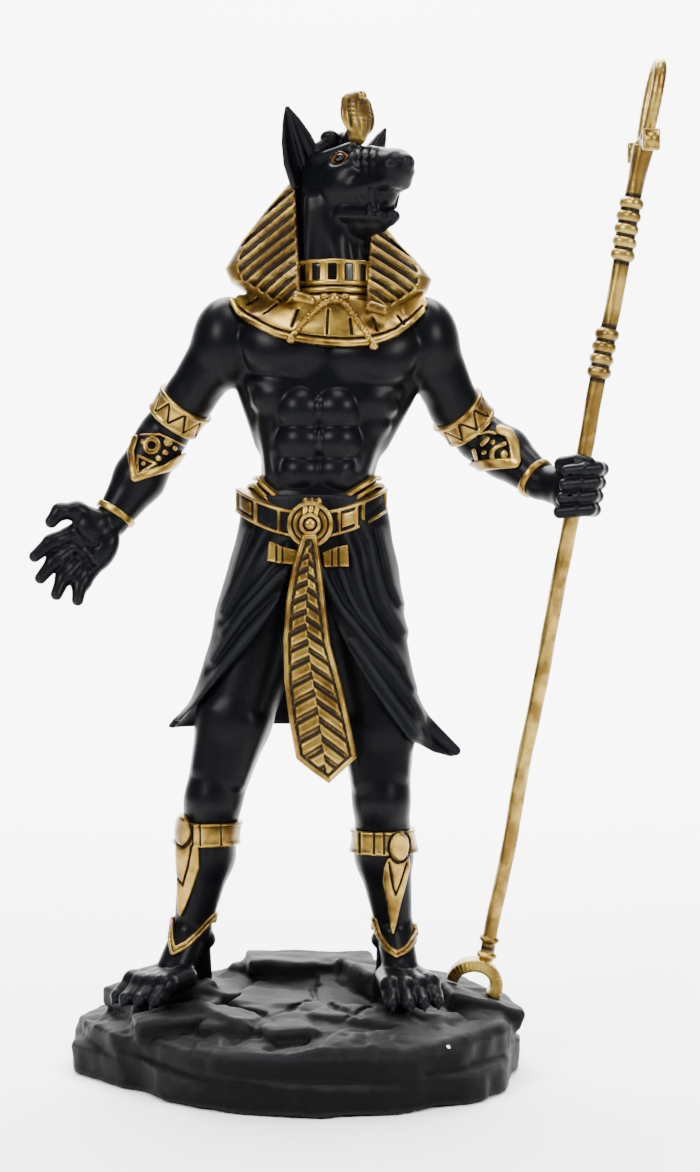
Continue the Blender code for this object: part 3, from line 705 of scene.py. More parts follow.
class Paint:
    """A Principled material being put together from small procedural parts."""

    def __init__(self, name: str) -> None:
        """Start a new material of a name, with its shader and coordinates at hand."""
        self.material = bpy.data.materials.new(name)
        self.material.use_nodes = True
        self.tree = self.material.node_tree
        self.shader = self.tree.nodes["Principled BSDF"]
        self.coordinates = self.tree.nodes.new("ShaderNodeTexCoord")

    def link(self, output: Socket, target: Socket) -> None:
        """Join two sockets."""
        self.tree.links.new(output, target)

    def noise(self, scale: float, detail: float) -> Socket:
        """A noise over the object's own coordinates."""
        node = self.tree.nodes.new("ShaderNodeTexNoise")
        node.inputs["Scale"].default_value = scale
        node.inputs["Detail"].default_value = detail
        node.inputs["Roughness"].default_value = 0.55
        self.link(self.coordinates.outputs["Object"], node.inputs["Vector"])
        return node.outputs["Fac"]

    def attribute(self, name: str) -> Socket:
        """A value that the mesh carries at its points."""
        node = self.tree.nodes.new("ShaderNodeAttribute")
        node.attribute_name = name
        return node.outputs["Fac"]

    def add(self, first: Socket, second: Socket) -> Socket:
        """The sum of two values."""
        node = self.tree.nodes.new("ShaderNodeMath")
        node.operation = "ADD"
        self.link(first, node.inputs[0])
        self.link(second, node.inputs[1])
        return node.outputs[0]

    def span(self, value: Socket, low: float, high: float) -> Socket:
        """A value from 0 to 1 spread over a new range."""
        return self.ramp(value, 0.0, 1.0, low, high)

    def ramp(self, value: Socket, start: float, end: float,
             low: float = 0.0, high: float = 1.0) -> Socket:
        """A value that runs from low to high between start and end."""
        node = self.tree.nodes.new("ShaderNodeMapRange")
        for key, number in (("From Min", start), ("From Max", end), ("To Min", low), ("To Max", high)):
            node.inputs[key].default_value = number
        self.link(value, node.inputs["Value"])
        return node.outputs["Result"]

    def mix(self, share: Socket, first: object, second: object) -> Socket:
        """A colour between two, each a colour or a socket."""
        node = self.tree.nodes.new("ShaderNodeMix")
        node.data_type = "RGBA"
        self.link(share, node.inputs["Factor"])
        sockets = [socket for socket in node.inputs if socket.type == "RGBA"]
        for socket, given in zip(sockets, (first, second)):
            if isinstance(given, tuple):
                socket.default_value = (*given, 1.0)
            else:
                self.link(given, socket)
        return next(socket for socket in node.outputs if socket.type == "RGBA")

    def bump(self, height: Socket, strength: float, distance: float) -> None:
        """Let a height tilt the shading."""
        node = self.tree.nodes.new("ShaderNodeBump")
        node.inputs["Strength"].default_value = strength
        node.inputs["Distance"].default_value = distance
        self.link(height, node.inputs["Height"])
        self.link(node.outputs["Normal"], self.shader.inputs["Normal"])


@dataclass
class Finishes:
    """Every finish of the statue."""

    resin: Coat = field(default_factory=lambda: ResinFinish("satin_resin").make())
    rock: Coat = field(default_factory=lambda: ResinFinish(
        "stone_resin", colour=(0.0030, 0.0031, 0.0035), edge_highlight_colour=(0.0080, 0.0084, 0.0092),
        roughness=0.50, bend=1.11, bump=0.35, bump_scale=300.0).make())
    bronze: Coat = field(default_factory=lambda: GoldFinish(
        "bronze", colour=(0.10, 0.045, 0.010), shade=(0.04, 0.018, 0.005), wash_level=-0.05).make())
    cloth: Coat = field(default_factory=lambda: ResinFinish(
        "cloth_resin", roughness=0.42, bend=1.12).make())
    gloss: Coat = field(default_factory=lambda: ResinFinish(
        "gloss_resin", roughness=0.14, bend=1.28, bump=0.02).make())
    gold: Coat = field(default_factory=lambda: GoldFinish("antique_gold").make())
    washed_gold: Coat = field(default_factory=lambda: GoldFinish(
        "washed_gold", wash_level=0.17, wash_width=0.30).make())
    staff_gold: Coat = field(default_factory=lambda: GoldFinish(
        "staff_gold", colour=(0.36, 0.245, 0.055), shade=(0.125, 0.074, 0.016), wash_level=-0.03,
        roughness=0.32, bump=0.40, stain_and_shade_level=0.24).make())
    chip: Coat = field(default_factory=lambda: ResinFinish(
        "bare_plaster", colour=(0.72, 0.70, 0.66), edge_highlight_colour=(0.80, 0.78, 0.74), roughness=0.8).make())


# The body


@dataclass(frozen=True)
class Pose:
    """Where the figure's joints are."""

    shoulders: dict = field(default_factory=lambda: {Side.RIGHT: (-24, 4, 218), Side.LEFT: (43, 4, 218)})
    upper_arms: dict = field(default_factory=lambda: {
        Side.RIGHT: (-36.5, 9, 200), Side.LEFT: (53, 10, 197)})
    elbows: dict = field(default_factory=lambda: {
        Side.RIGHT: (-46.0, 14, 187.5), Side.LEFT: (62, 15, 187)})
    forearms: dict = field(default_factory=lambda: {
        Side.RIGHT: (-53.6, 11, 173), Side.LEFT: (70, 10, 181.5)})
    wrists: dict = field(default_factory=lambda: {
        Side.RIGHT: (-62.2, 8, 159.4), Side.LEFT: (81, 1, 171.4)})
    fist: Triple = (91.5, -6.5, 168.5)
    hips: dict = field(default_factory=lambda: {Side.RIGHT: (-6, 1, 138), Side.LEFT: (17, 1, 138)})
    thighs: dict = field(default_factory=lambda: {Side.RIGHT: (-21, -2, 92), Side.LEFT: (27, -3, 90)})
    knees: dict = field(default_factory=lambda: {Side.RIGHT: (-27.6, -5, 66), Side.LEFT: (28, -7, 66)})
    calves: dict = field(default_factory=lambda: {Side.RIGHT: (-30.5, 1, 47), Side.LEFT: (29, 0, 47)})
    ankles: dict = field(default_factory=lambda: {Side.RIGHT: (-35.2, 3, 22), Side.LEFT: (32.5, 3, 22)})
    toes: dict = field(default_factory=lambda: {Side.RIGHT: (-52, -21, 4), Side.LEFT: (38.5, -27, 4)})
    staff_foot: Triple = (63.6, 8, 10.3)
    staff_top: Triple = (117.8, -22.1, 307.2)

    def along_staff(self, share: float) -> Triple:
        """A point on the staff's axis, from 0 at its foot to 1 at its top."""
        return lerp(self.staff_foot, self.staff_top, share)


@dataclass
class Body:
    """The bare figure below its head, as recipes that any box of clay can be filled with."""

    pose: Pose
    trunk: Stack = Stack((
        (240, 12.4, 13.0, 4.5, 11.0), (230, 11.8, 23.0, 4.5, 12.5), (221, 11.0, 29.0, 4.0, 15.0),
        (211, 10.3, 29.6, 3.5, 15.6), (204, 9.7, 28.6, 3.0, 15.0), (197, 9.6, 26.6, 2.5, 14.0),
        (188, 8.8, 23.0, 2.0, 12.8), (180, 7.8, 19.8, 2.0, 12.0), (174, 7.0, 19.0, 2.0, 12.4),
        (166, 5.6, 22.0, 2.0, 14.4), (150, 5.0, 23.0, 2.0, 15.4), (135, 5.0, 20.0, 2.0, 13.0),
    ))

    def shape_trunk(self, clay: Clay) -> None:
        """Press on the chest, belly and back."""
        clay.add(self.trunk)
        self.shape_chest(clay)
        self.shape_belly(clay)
        self.shape_back(clay)

    def shape_chest(self, clay: Clay) -> None:
        """Press on the breast muscles, the flanks and the slope to the neck."""
        for side, drop in ((-1, 0.0), (1, 2.4)):
            slope = math.radians(-9.0 * side)
            turn = ((math.cos(slope), 0, math.sin(slope)), (0, 1, 0), (-math.sin(slope), 0, math.cos(slope)))
            clay.add(Ball((10.9 + 12.6 * side, -6.4, 214.2 - drop), (15.0, 8.8, 9.6), turn), 2.6)
            clay.add(Ball((10.9 + 19.0 * side, -3.8, 219.0 - drop), (12.5, 8.6, 8.6), turn), 4.5)
            clay.add(Limb((10 + 24.5 * side, 4.0, 208 - drop), (8.5 + 18.0 * side, 3.0, 186), 7.2, 4.2), 4.5)
            for row in range(3):
                clay.add(Ball((9.4 + (21.0 - 2.2 * row) * side, -6.0 + 0.6 * row, 203.0 - drop - 5.4 * row),
                              (4.4, 3.2, 2.2)), 3.0)
            clay.add(Limb((12.4 + 6.0 * side, 7.0, 242), (12.0 + 25.0 * side, 6.0, 226), 7.5, 8.0), 3.0)
        clay.groove([(10.9, -17.2, 222), (10.9, -15.8, 208)], 1.1, 3.4)

    def shape_belly(self, clay: Clay) -> None:
        """Press on the rib arch, the two columns of belly muscle and the lower belly."""
        for side in (-1, 1):
            clay.add(Ball((8.8 + 14.0 * side, -5.8, 198.8 - 0.7 * side), (9.0, 6.4, 7.0)), 3.2)
            clay.add(Limb((8.0 + 15.0 * side, -4.2, 188), (6.5 + 12.5 * side, -6.6, 174), 5.0, 4.6), 4.0)
            for height, half_height, forward in ((194.6, 10.4, 3.1), (184.2, 9.8, 2.6), (174.2, 9.2, 2.0)):
                clay.add(Ball((7.5 + 6.0 * side, -forward, height), (10.2, 12.0, half_height)), 0.9)
            clay.groove([(7.4 + 15.6 * side, -12.0, 181.0), (6.8 + 11.4 * side, -13.9, 171.6),
                         (6.2 + 8.4 * side, -15.0, 166.0)], 0.8, 2.8)
        for height in (194.6, 184.2):
            clay.add(Ball((7.6, -11.0, height), (1.7, 3.4, 4.2)), 1.0)
        clay.cut(Ball((7.1, -13.8, 175.4), (0.8, 1.5, 1.1)), 0.6)

    def shape_back(self, clay: Clay) -> None:
        """Press on the shoulder blades and the two columns beside the spine."""
        for side in (-1, 1):
            clay.add(Ball((10.0 + 15.0 * side, 11.0, 213.0), (12.0, 7.6, 12.4)), 1.6)
            clay.add(Limb((9.6 + 5.6 * side, 12.2, 208), (6.0 + 5.2 * side, 11.0, 172), 4.4, 4.2), 2.0)
            clay.add(Limb((10 + 21.0 * side, 9.5, 204), (8.0 + 12.0 * side, 9.5, 184), 5.6, 4.0), 2.5)
        clay.groove([(10.4, 19.0, 222), (9.6, 17.2, 205), (7.4, 15.8, 186), (6.0, 17.0, 168)], 1.6, 2.4)

    def shape_arm(self, clay: Clay, side: Side) -> None:
        """Press on one arm from its shoulder cap to its wrist."""
        out = side.value
        pose = self.pose
        shoulder, middle, elbow = pose.shoulders[side], pose.upper_arms[side], pose.elbows[side]
        forearm, wrist = pose.forearms[side], pose.wrists[side]
        clay.add(Ball(shift(shoulder, x=out * -1.0), (12.2, 12.4, 15.4)), 1.6)
        clay.chain([(shoulder, 10.3), (middle, 8.4), (elbow, 8.1)], 2.0)
        clay.chain([(elbow, 8.1), (forearm, 8.7), (wrist, 5.9)], 2.0)
        clay.add(Limb(shift(lerp(shoulder, middle, 0.55), -out * 1.5, -4.0, -1.0),
                      shift(lerp(middle, elbow, 0.35), -out * 0.5, -3.4, 0.0), 6.0, 4.8), 1.4)
        clay.add(Limb(shift(lerp(shoulder, middle, 0.5), out * 2.5, 3.6, -1.0),
                      shift(lerp(middle, elbow, 0.25), out * 1.5, 2.8, 0.5), 6.0, 5.2), 1.4)
        clay.add(Limb(shift(lerp(elbow, forearm, 0.2), out * 1.2, -2.0, 1.0),
                      shift(lerp(forearm, wrist, 0.45), out * 0.4, -1.4, 0.0), 6.6, 4.6), 1.6)

    def shape_leg(self, clay: Clay, side: Side) -> None:
        """Press on one leg from its hip to its ankle."""
        out = side.value
        pose = self.pose
        hip, thigh, knee = pose.hips[side], pose.thighs[side], pose.knees[side]
        calf, ankle = pose.calves[side], pose.ankles[side]
        clay.chain([(hip, 14.0), (thigh, 12.4), (knee, 9.2)], 2.5)
        clay.chain([(knee, 9.2), (calf, 9.2), (ankle, 6.0)], 2.5)
        clay.add(Ball(shift(calf, y=3.2, z=1.0), (9.7, 8.2, 13.0)), 2.0)
        clay.add(Ball(shift(calf, out * 2.0, 4.6, 3.5), (7.0, 6.8, 10.0)), 1.2)
        clay.add(Ball(shift(knee, y=-4.2), (5.4, 4.8, 6.0)), 1.6)
        clay.add(Limb(shift(lerp(thigh, knee, 0.05), -out * 4.6, -5.0),
                      shift(lerp(thigh, knee, 0.72), -out * 4.2, -4.6), 7.4, 5.4), 1.2)
        clay.add(Limb(shift(lerp(thigh, knee, -0.1), out * 4.4, -4.4),
                      shift(lerp(thigh, knee, 0.6), out * 4.4, -4.0), 7.6, 5.2), 1.2)

    def shape_foot(self, clay: Clay, side: Side) -> None:
        """Press on one clawed foot."""
        out = side.value
        ankle, toe = self.pose.ankles[side], self.pose.toes[side]
        heel = (ankle[0] - out * 1.0, 10.0, 4.6)
        instep = (*lerp(ankle, toe, 0.32)[:2], 9.4)
        clay.add(Limb(ankle, instep, 6.0, 6.0), 1.6)
        clay.add(Limb(ankle, heel, 5.8, 5.2), 1.6)
        for way in (-1, 1):
            clay.add(Ball(shift(ankle, way * 5.2, 1.0, -4.0), (2.6, 3.0, 2.8)), 1.6)
        forward = unit((toe[0] - ankle[0], toe[1] - ankle[1], 0.0))
        sideways = np.array([-forward[1], forward[0], 0.0])
        for finger in range(4):
            spread = (finger - 1.5) * 4.4
            reach = 1.0 - 0.08 * abs(finger - 1.2)
            root = shift(instep + sideways * spread * 0.72, z=-2.0)
            knuckle = shift(lerp(instep, toe, 0.72 * reach) + sideways * spread, z=1.2)
            joint = shift(lerp(instep, toe, 0.95 * reach) + sideways * spread * 1.08, z=-0.8)
            end = lerp(instep, toe, 1.10 * reach) + sideways * spread * 1.15
            clay.chain([(root, 4.0), (knuckle, 3.4), (joint, 2.9), ((end[0], end[1], 3.0), 2.3)], 0.9)
            clay.add(Ball(knuckle, (3.5, 3.6, 3.6)), 0.8)
            claw = end + forward * 2.2
            clay.add(Limb((end[0], end[1], 3.8), (claw[0], claw[1], 1.0), 1.7, 0.6), 0.3)

    def shape_open_hand(self, clay: Clay) -> None:
        """Press on the right hand, open with its fingers spread and bent a little."""
        wrist = self.pose.wrists[Side.RIGHT]
        palm = (-69.5, 4.8, 150.0)
        lean = math.radians(35)
        turn = ((math.cos(lean), 0, -math.sin(lean)), (0, 1, 0), (math.sin(lean), 0, math.cos(lean)))
        clay.add(Limb(wrist, lerp(palm, wrist, 0.35), 5.5, 5.8), 1.2)
        clay.add(Ball(palm, (8.6, 4.6, 10.2), turn), 2.4)
        clay.add(Ball((-69.6, 2.2, 156.2), (5.6, 3.8, 4.8)), 2.4)
        clay.add(Ball((-64.8, 2.4, 147.8), (3.6, 3.4, 7.0), turn), 3.0)
        clay.chain([((-67, 4, 158), 4.2), ((-73.5, 2, 161.6), 3.2), ((-79, 0, 161.4), 2.7),
                    ((-81.6, -1.6, 158.0), 2.2)], 1.4)
        fingers = (
            ((-75.0, 3.5, 154.0), (-79.0, 1.4, 153.2), (-82.5, 0.2, 151.8), (-87.0, -2.6, 146.4)),
            ((-74.5, 3.5, 149.0), (-78.4, 1.2, 147.2), (-81.5, -0.4, 145.2), (-85.0, -3.2, 139.2)),
            ((-73.0, 3.5, 144.6), (-76.2, 1.4, 142.0), (-78.6, -0.4, 139.6), (-79.7, -3.4, 133.8)),
            ((-69.5, 4.0, 142.2), (-71.7, 2.0, 139.6), (-73.2, 0.4, 136.8), (-72.8, -2.4, 131.9)),
        )
        for root, near, joint, tip in fingers:
            bend = lerp(root, tip, 0.55)
            knuckle, middle = lerp(near, bend, 0.5), lerp(joint, bend, 0.4)
            clay.chain([(root, 3.4), (knuckle, 2.9), (middle, 2.6), (tip, 2.0)], 1.2)
        for crease in (((-74.0, 0.2, 157.0), (-70.0, -0.3, 151.0), (-67.4, 0.4, 146.6)),
                       ((-76.4, 0.6, 151.6), (-71.6, -0.2, 149.4), (-66.4, -0.2, 150.4)),
                       ((-75.2, 0.8, 148.0), (-70.8, 0.4, 146.0), (-67.4, 0.6, 143.6))):
            clay.groove(crease, 0.3, 1.2)

    def shape_fist(self, clay: Clay) -> None:
        """Press on the left hand, closed around the staff."""
        wrist, fist = self.pose.wrists[Side.LEFT], self.pose.fist
        clay.add(Limb(wrist, lerp(wrist, fist, 0.5), 5.6, 6.4), 1.4)
        clay.add(Ball(fist, (8.2, 7.4, 9.0)), 1.2)
        rise = unit(np.subtract(self.pose.staff_top, self.pose.staff_foot))
        for finger in range(4):
            drop = rise * (6.6 - 4.5 * finger)
            outer = shift(fist + drop, 7.3, -4.0)
            knuckle = shift(fist + drop, 5.4, -7.8, 0.1)
            front = shift(fist + drop, 1.3, -9.2, -0.4)
            inner = shift(fist + drop, -4.0, -7.4, -0.9)
            clay.chain([(outer, 2.35), (knuckle, 2.45), (front, 2.3), (inner, 2.2)], 0.35)
            clay.add(Ball(tuple(outer), (2.7, 2.7, 2.5)), 0.4)
        clay.chain([(shift(fist, -4, -3, 8.0), 2.8), (shift(fist, 0.5, -6.5, 9.0), 2.3),
                    (shift(fist, 4.2, -8.6, 8.4), 2.0)], 0.5)
        for tendon in range(3):
            z = 4.5 - 3.6 * tendon
            clay.groove([shift(fist, -8.0, -5.6, z), shift(fist, -2.0, -9.4, z + 0.2)], 0.45, 1.0)

    def carve_staff_way(self, clay: Clay) -> None:
        """Cut the way of the staff through the fist."""
        clay.cut(Limb(self.pose.along_staff(0.0), self.pose.along_staff(0.9), 2.85, 2.85), 0.2)


@dataclass
class Flesh:
    """The bare black limbs and trunk as pieces of their own."""

    body: Body
    finishes: Finishes

    def build(self) -> None:
        """Make the trunk, both forearms with their hands, and both legs."""
        self.build_trunk()
        self.build_forearms()
        for side in Side:
            self.build_leg(side)

    def build_trunk(self) -> None:
        """Make the trunk with both upper arms."""
        clay = Clay((-62, -24, 136), (80, 30, 250), Grain.BODY)
        self.body.shape_trunk(clay)
        for side in Side:
            self.body.shape_arm(clay, side)
        x, _, z = clay.grids()
        pose = self.body.pose
        for side in Side:
            elbow, forearm = pose.elbows[side], pose.forearms[side]
            cut_at = lerp(elbow, forearm, 0.35)
            way = unit(np.subtract(forearm, elbow))
            beyond = (x - cut_at[0]) * way[0] + (z - cut_at[2]) * way[2]
            limit = np.where((x - cut_at[0]) * side.value > -14.0, beyond, -FAR)
            clay.keep(limit.astype(np.float32), 0.2)
        cast(clay, "trunk", self.finishes.resin, 1.4)

    def build_forearms(self) -> None:
        """Make both forearms from the elbow guard to the finger tips."""
        for name, side, low, high in (
            ("open_forearm", Side.RIGHT, (-93, -12, 125), (-34, 26, 198)),
            ("fist_forearm", Side.LEFT, (50, -22, 152), (108, 28, 198)),
        ):
            clay = Clay(low, high, Grain.FINE)
            self.body.shape_arm(clay, side)
            if side is Side.RIGHT:
                self.body.shape_open_hand(clay)
            else:
                self.body.shape_fist(clay)
                self.body.carve_staff_way(clay)
            x, _, z = clay.grids()
            elbow, forearm = self.body.pose.elbows[side], self.body.pose.forearms[side]
            way = unit(np.subtract(forearm, elbow))
            before = -((x - elbow[0]) * way[0] + (z - elbow[2]) * way[2])
            clay.keep(before, 0.2)
            cast(clay, name, self.finishes.resin, 1.0)

    def build_leg(self, side: Side) -> None:
        """Make one leg from inside the kilt to its claws."""
        low, high = ((-66, -40, -2), (6, 22, 132)) if side is Side.RIGHT else ((8, -44, -2), (56, 22, 132))
        clay = Clay(low, high, Grain.BODY)
        self.body.shape_leg(clay, side)
        self.body.shape_foot(clay, side)
        cast(clay, f"leg_{side.word}", self.finishes.resin, 1.2)


# The head


@dataclass(frozen=True)
class HeadFrame:
    """The head's own directions: forward along the muzzle, to its left, and up."""

    middle: Triple = (12.6, 4, 272)
    yaw: float = math.radians(40)
    pitch: float = math.radians(8)

    def axes(self) -> tuple[Triple, Triple, Triple]:
        """The forward, left and up directions."""
        forward = Vector((math.sin(self.yaw) * math.cos(self.pitch),
                          -math.cos(self.yaw) * math.cos(self.pitch), math.sin(self.pitch)))
        left = Vector((math.cos(self.yaw), math.sin(self.yaw), 0.0))
        return tuple(forward), tuple(left), tuple(forward.cross(left))

    def at(self, forward: float, left: float, up: float) -> Triple:
        """The place of a point given in the head's own frame."""
        axes = self.axes()
        return tuple(
            self.middle[i] + forward * axes[0][i] + left * axes[1][i] + up * axes[2][i] for i in range(3))


@dataclass(frozen=True)
class Ear(Form):
    """A tall ear, scooped out on the side that it faces, with a ridge down the scoop."""

    root: Array
    tip: Array
    facing: Array
    # The share of the length, half width and half depth at each level
    levels: tuple[Triple, ...] = ((0.0, 6.6, 3.7), (0.25, 6.7, 3.4), (0.55, 5.3, 2.7), (0.82, 3.1, 1.8),
                                  (1.0, 1.2, 0.9))
    spare: float = 8.0

    def reach(self) -> tuple[Array, Array]:
        """The lowest and highest corner of a roomy box around the ear."""
        return np.minimum(self.root, self.tip) - self.spare, np.maximum(self.root, self.tip) + self.spare

    def distance(self, x: Array, y: Array, z: Array) -> Array:
        """How far each point is outside the ear."""
        length = float(np.linalg.norm(self.tip - self.root))
        upright = unit(self.tip - self.root)
        across = unit(np.cross(upright, unit(self.facing)))
        axes = (upright, across, np.cross(across, upright))
        high, wide, deep = along_axes(self.root, axes, x, y, z)
        rows = np.array(self.levels)
        share = high / length
        half = np.interp(share, rows[:, 0], rows[:, 1]).astype(np.float32)
        depth = np.interp(share, rows[:, 0], rows[:, 2]).astype(np.float32)
        outer = (np.sqrt((wide / half) ** 2 + (deep / depth) ** 2) - 1.0) * np.minimum(half, depth)
        scoop = (np.sqrt((wide / (0.76 * half)) ** 2 + ((deep - 0.62 * depth) / (1.05 * depth)) ** 2)
                 - 1.0) * 0.8 * np.minimum(half, depth)
        ridge = np.sqrt((wide - 0.1 * half) ** 2 + (deep + 0.35 * depth) ** 2) - 0.16 * half
        shape = soft_min(soft_max(outer, -scoop, 0.7), ridge, 0.8)
        return soft_max(shape, np.maximum(high - length - 0.8, -3.0 - high), 0.4)


@dataclass
class Head:
    """The jackal's head with its parted jaws, tall ears and the cobra on its brow."""

    finishes: Finishes
    frame: HeadFrame = field(default_factory=HeadFrame)
    low: Triple = (-12, -40, 228)
    high: Triple = (50, 26, 294)

    def build(self) -> None:
        """Make the head, ears, eyes, brow roll and cobra."""
        self.build_head()
        self.build_ears()
        self.build_eyes()
        self.build_cobra()

    def build_head(self) -> None:
        """Make the skull, jaws, teeth and neck."""
        at, turn = self.frame.at, self.frame.axes()
        clay = Clay(self.low, self.high, Grain.FINE)
        clay.add(Limb((12.4, 5, 226), (12.6, 4.5, 262), 11.6, 12.0), 1.0)
        clay.add(Ball(at(0.0, 0, 0.5), (13.0, 11.6, 12.0), turn), 3.0)
        clay.add(Limb(at(10, 0, 0.6), at(30.5, 0, -4.4), 8.6, 6.4), 2.6)
        clay.add(Limb(at(6, 0, -8), at(22, 0, -10.5), 9.0, 5.6), 3.0)
        clay.add(Limb(at(4, 0, -12), at(14, 0, -17), 8.8, 5.6), 3.0)
        clay.chain([(at(12, 0, -16.8), 5.2), (at(19.5, 0, -18.8), 3.9), (at(25.0, 0, -19.6), 2.7)], 1.8)
        clay.add(Ball(at(26.9, 0, -19.4), (2.4, 2.6, 2.2), turn), 0.8)
        for side in (-1, 1):
            clay.add(Ball(at(8.5, 6.0 * side, -4.0), (9.0, 5.6, 8.0), turn), 2.4)
            clay.add(Limb(at(3, 8.8 * side, 5.2), at(15.0, 4.6 * side, 6.4), 2.6, 2.0), 1.5)
            clay.add(Limb(at(7, 9.0 * side, -1.4), at(17, 6.2 * side, -1.6), 2.2, 1.6), 1.8)
            clay.add(Limb(at(13, 5.6 * side, -7.0), at(30.2, 3.4 * side, -8.8), 3.2, 2.3), 1.6)
            clay.add(Limb(at(10, 6.0 * side, -14.4), at(24.0, 2.8 * side, -18.6), 2.8, 1.7), 1.4)
            clay.add(Limb(at(2, 7.4 * side, -12), at(5, 5.6 * side, -30), 4.2, 3.0), 4.0)
        clay.add(Ball(at(31.4, 0, -5.0), (3.6, 4.4, 5.2), turn), 2.0)
        clay.add(Ball(at(35.4, 0, -3.9), (2.7, 3.4, 3.0), turn), 0.8)
        for x, foot, bulk in ((8.6, 7.0, 1.8), (15.4, 14.2, 1.8), (3.6, 4.4, 1.6), (21.0, 19.6, 1.6)):
            clay.add(Limb((x, -5.4, 232), (foot, -5.4, 264), bulk, bulk), 3.2)
        self.carve_face(clay)
        self.add_teeth(clay)
        clay.keep(230.0 - clay.grids()[2], 0.4)
        cast(clay, "head", self.finishes.resin, 0.8)

    def wedge(self, start: Pair, end: Pair, half_width: float, half_height: float, rounding: float) -> Block:
        """A bar between two places of the head's middle plane.

        Args:
            start: the first place, forward and up.
            end: the other place.
            half_width: how far it reaches to each side.
            half_height: how far it reaches up and down from its middle line.
            rounding: the radius of its edges.

        Returns:
            The block to add or cut.
        """
        first, last = (np.asarray(self.frame.at(forward, 0, up)) for forward, up in (start, end))
        forward = unit(last - first)
        left = np.asarray(self.frame.axes()[1])
        halves = (float(np.linalg.norm(last - first)) / 2, half_width, half_height)
        turn = (tuple(forward), tuple(left), tuple(np.cross(forward, left)))
        return Block(tuple((first + last) / 2), halves, turn, rounding)

    def carve_face(self, clay: Clay) -> None:
        """Fill the mouth, open its front, and carve the nostrils, snarl folds and eye sockets."""
        at = self.frame.at
        clay.add(self.wedge((11.0, -13.0), (24.6, -14.6), 4.7, 3.6, 1.8), 0.5)
        clay.cut(self.wedge((25.6, -16.6), (38.6, -8.2), 9.0, 1.5, 0.5), 0.6)
        for side in (-1, 1):
            clay.cut(Ball(at(38.6, 2.0 * side, -4.0), (1.2, 1.2, 1.2)), 0.4)
            clay.groove([at(36.8, 3.6 * side, -5.2), at(34.0, 5.0 * side, -4.6)], 0.5, 0.8)
            clay.cut(Ball(at(12.8, 8.8 * side, 3.0), (3.2, 2.2, 2.0)), 1.4)
            for forward, lift in ((20.0, 2.4), (23.6, 1.4), (27.0, 0.2)):
                clay.groove([at(forward - 1.8, 3.4 * side, lift + 3.0), at(forward, 6.4 * side, lift - 1.6),
                             at(forward + 1.2, 7.2 * side, lift - 5.2)], 0.35, 2.2)
        clay.groove([at(12.0, 0, 9.8), at(20.0, 0, 8.4), at(30.0, 0, 3.6)], 0.4, 1.6)
        clay.groove([at(39.4, 0, -3.0), at(38.4, 0, -7.6), at(36.6, 0, -11.6)], 0.35, 0.6)

    def add_teeth(self, clay: Clay) -> None:
        """Press on the fangs and the teeth behind them."""
        at = self.frame.at
        for side in (-1, 1):
            clay.add(Limb(at(24.0, 5.2 * side, -10.6), at(23.4, 4.9 * side, -15.0), 1.3, 0.5), 0.4)
            clay.add(Limb(at(21.6, 4.8 * side, -17.6), at(21.5, 4.9 * side, -14.6), 1.0, 0.4), 0.3)
            for step in range(4):
                reach = 19.0 - 2.2 * step
                clay.add(Limb(at(reach, (5.3 + 0.3 * step) * side, -11.4 + 0.2 * step),
                              at(reach, (5.2 + 0.3 * step) * side, -13.4 + 0.2 * step), 1.0, 0.4), 0.25)

    def build_ears(self) -> None:
        """Make two tall hollow ears."""
        forward, left, _ = (np.asarray(axis) for axis in self.frame.axes())
        for side, root, tip in ((Side.RIGHT, (-3.0, -9.5, 2.0), (1.5, -19.0, 22.0)),
                                (Side.LEFT, (-1.0, 13.0, 2.0), (3.0, 22.5, 20.0))):
            ear = Ear(np.asarray(self.frame.at(*root)), np.asarray(self.frame.at(*tip)),
                      forward + left * side.value * 0.55)
            clay = Clay(*(tuple(corner) for corner in ear.reach()), Grain.FINE)
            clay.add(ear, 0.0)
            cast(clay, f"ear_{side.word}", self.finishes.resin, 0.8)

    def build_eyes(self) -> None:
        """Make the glossy eyes with their gold brown rims."""
        at, turn = self.frame.at, self.frame.axes()
        for side in Side:
            out = side.value
            middle = at(12.6, 7.7 * out, 3.3)
            low, high = (tuple(np.asarray(middle) + reach) for reach in (-6.0, 6.0))
            clay = Clay(low, high, Grain.JEWEL)
            clay.add(Ball(middle, (2.2, 1.5, 1.5), turn), 0.0)
            cast(clay, f"eye_{side.word}", self.finishes.gloss, 0.6)
            rim = Clay(low, high, Grain.JEWEL)
            for lift, radius in ((1.9, 0.62), (-1.9, 0.42)):
                stations = []
                for step in range(7):
                    share = step / 6.0
                    arch = lift * math.sin(math.pi * share)
                    stations.append((at(9.6 + 6.0 * share, (8.7 - 1.7 * share) * out, 3.1 + arch), radius))
                rim.chain(stations, 0.2)
            cast(rim, f"eye_rim_{side.word}", self.finishes.bronze, 0.6)

